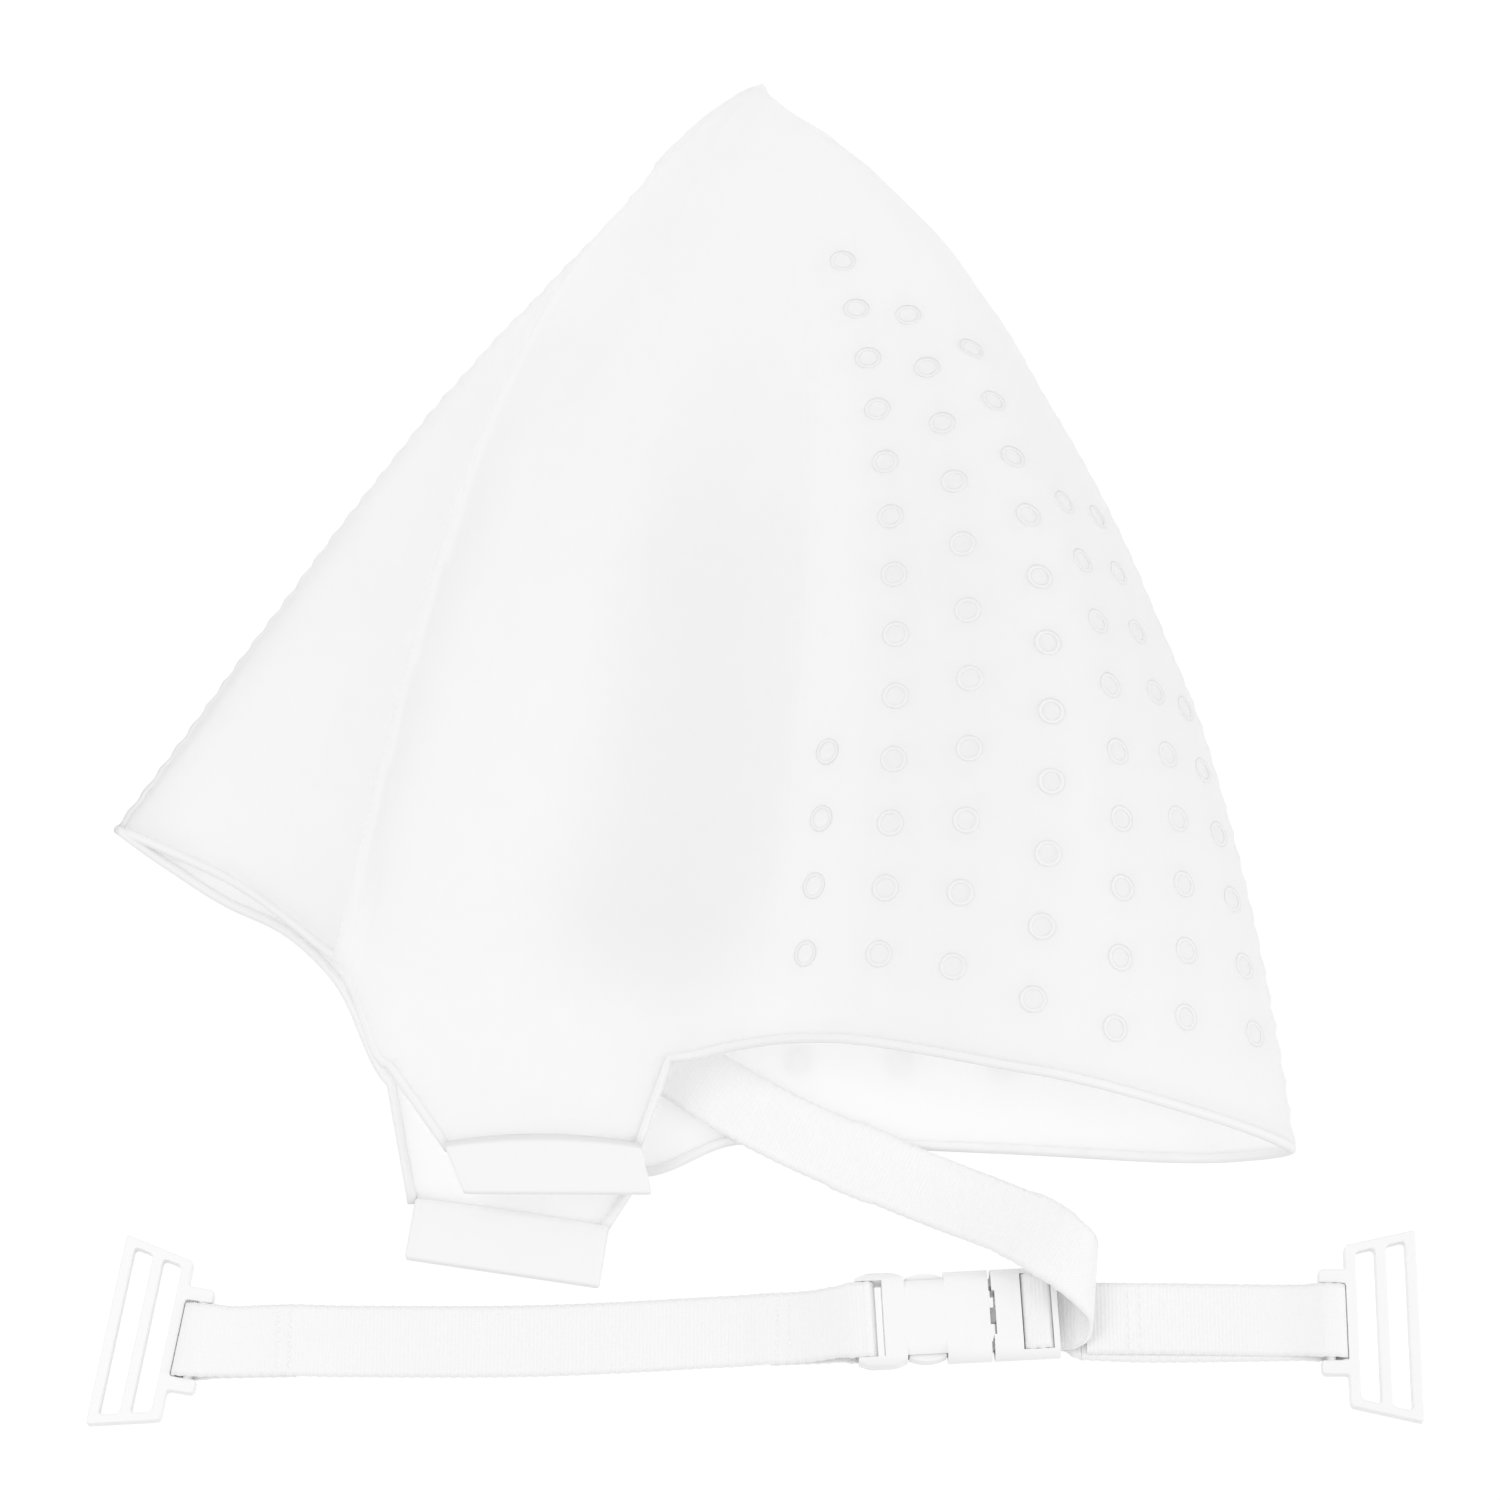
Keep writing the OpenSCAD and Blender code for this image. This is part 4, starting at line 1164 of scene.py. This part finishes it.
# %% [markdown]
# ## The slot plates
#
# A plate is moulded flat, with two long slots for the tabs and two short arms that hold the bar for
# the webbing. Its outline and those of its slots are drawn with a few points each, and a bevel of
# those points rounds the corners in plan. The space between the outlines is filled and extruded,
# and a last bevel softens the edges of both faces.

# %% Plate
PLATE_T = 3.2
PLATE_BAR = 2.1
PLATE_END = 1.8
PLATE_SLOT = 4.2
PLATE_INNER, PLATE_OUTER = 33.4 / 2, 40 / 2
NECK_REACH = 3.6
NECK_HALF = 8.0
NECK_ARM = 2.9
NECK_R = 1.0
ARM_END = 1.9
SLOT_CORNER = 1.0
PLATE_EDGE = 0.3


def draw_outline(bm, corners):
    """One closed outline. A corner has its place along and across, and the size of its rounding."""
    verts = [bm.verts.new((x, y, 0)) for x, y, _ in corners]
    bm.faces.new(verts)
    for size in sorted({size for _, _, size in corners}):
        chosen = [v for v, (_, _, own) in zip(verts, corners) if own == size]
        round_off(bm, chosen, size, 4, affect="VERTICES")


def make_plate(offset):
    """A plate along +X from its neck bar at the origin, with its frame a little to one side."""
    end = NECK_REACH + 3 * PLATE_BAR + 2 * PLATE_SLOT

    def half_at(x):
        return PLATE_INNER + (PLATE_OUTER - PLATE_INNER) * (x - NECK_REACH) / (end - NECK_REACH)

    arm = NECK_HALF + NECK_ARM
    neck = [(NECK_REACH, arm, 0.7), (-ARM_END, arm, 0.9),
            (-ARM_END, NECK_HALF, 0.5), (NECK_REACH, NECK_HALF, 0.5)]
    neck += [(x, -y, size) for x, y, size in reversed(neck)]
    bm = bmesh.new()
    draw_outline(bm, [(end, PLATE_OUTER + offset, 0.6), (NECK_REACH, PLATE_INNER + offset, 0.8)]
                 + neck
                 + [(NECK_REACH, offset - PLATE_INNER, 0.8), (end, offset - PLATE_OUTER, 0.6)])
    for x in (NECK_REACH + PLATE_BAR, NECK_REACH + 2 * PLATE_BAR + PLATE_SLOT):
        sides = [(u, half_at(u) - PLATE_END) for u in (x, x + PLATE_SLOT)]
        draw_outline(bm, [(u, offset + y, SLOT_CORNER) for u, y in sides]
                     + [(u, offset - y, SLOT_CORNER) for u, y in reversed(sides)])
    bmesh.ops.delete(bm, geom=bm.faces[:], context="FACES_ONLY")
    bmesh.ops.triangle_fill(bm, use_beauty=True, edges=bm.edges[:])
    raised = bmesh.ops.extrude_face_region(bm, geom=bm.faces[:])["geom"]
    upper = [g for g in raised if isinstance(g, bmesh.types.BMVert)]
    bmesh.ops.translate(bm, vec=(0, 0, PLATE_T), verts=upper)
    bmesh.ops.recalc_face_normals(bm, faces=bm.faces)
    for f in round_off(bm, sharp_edges(bm), PLATE_EDGE, 3)["faces"]:
        f.smooth = True
    bmesh.ops.translate(bm, vec=(0, 0, NECK_R - PLATE_T), verts=bm.verts)
    bar = bmesh.ops.create_cone(bm, cap_ends=True, segments=20, radius1=NECK_R, radius2=NECK_R,
                                depth=2 * NECK_HALF + 1)["verts"]
    bmesh.ops.rotate(bm, matrix=Matrix.Rotation(radians(90), 3, "X"), verts=bar)
    for f in {f for v in bar for f in v.link_faces if len(f.verts) == 4}:
        f.smooth = True
    return bm


for name, node, neck, turn, body, offset in (
        ("left_plate", "left_slot_plate", LEFT_NECK, pi - LEFT_TURN, "left_plate", 0.6),
        ("right_plate", "right_slot_plate", RIGHT_NECK, 0, "right_plate", -0.8)):
    plate = make_plate(offset)
    bmesh.ops.rotate(plate, matrix=Matrix.Rotation(turn, 3, "Z"), verts=plate.verts)
    bmesh.ops.translate(plate, vec=neck, verts=plate.verts)
    finish_piece(name, plate, plastic, [node], body)

# %% [markdown]
# ## The buckle
#
# The buckle's four mouldings keep the shape of their solids. Their meshes are loose triangles, so a
# Weld joins them and a Bevel softens the sharp edges, as a mould would.

# %% Buckle finish
WELD_GAP = 0.00001
BUCKLE_EDGE = 0.0004
for node in ("buckle_socket", "buckle_plug", "near_prong", "far_prong"):
    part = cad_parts[node]
    part.data.materials.clear()
    part.data.materials.append(plastic)
    weld = part.modifiers.new("joined", "WELD")
    weld.merge_threshold = WELD_GAP
    soft = part.modifiers.new("soft_edges", "BEVEL")
    soft.width = BUCKLE_EDGE
    soft.segments = 3
    soft.limit_method = "ANGLE"
    soft.angle_limit = radians(40)
    print(node, len(part.data.polygons), "faces")

# %% Update the scene
bpy.context.view_layer.update()
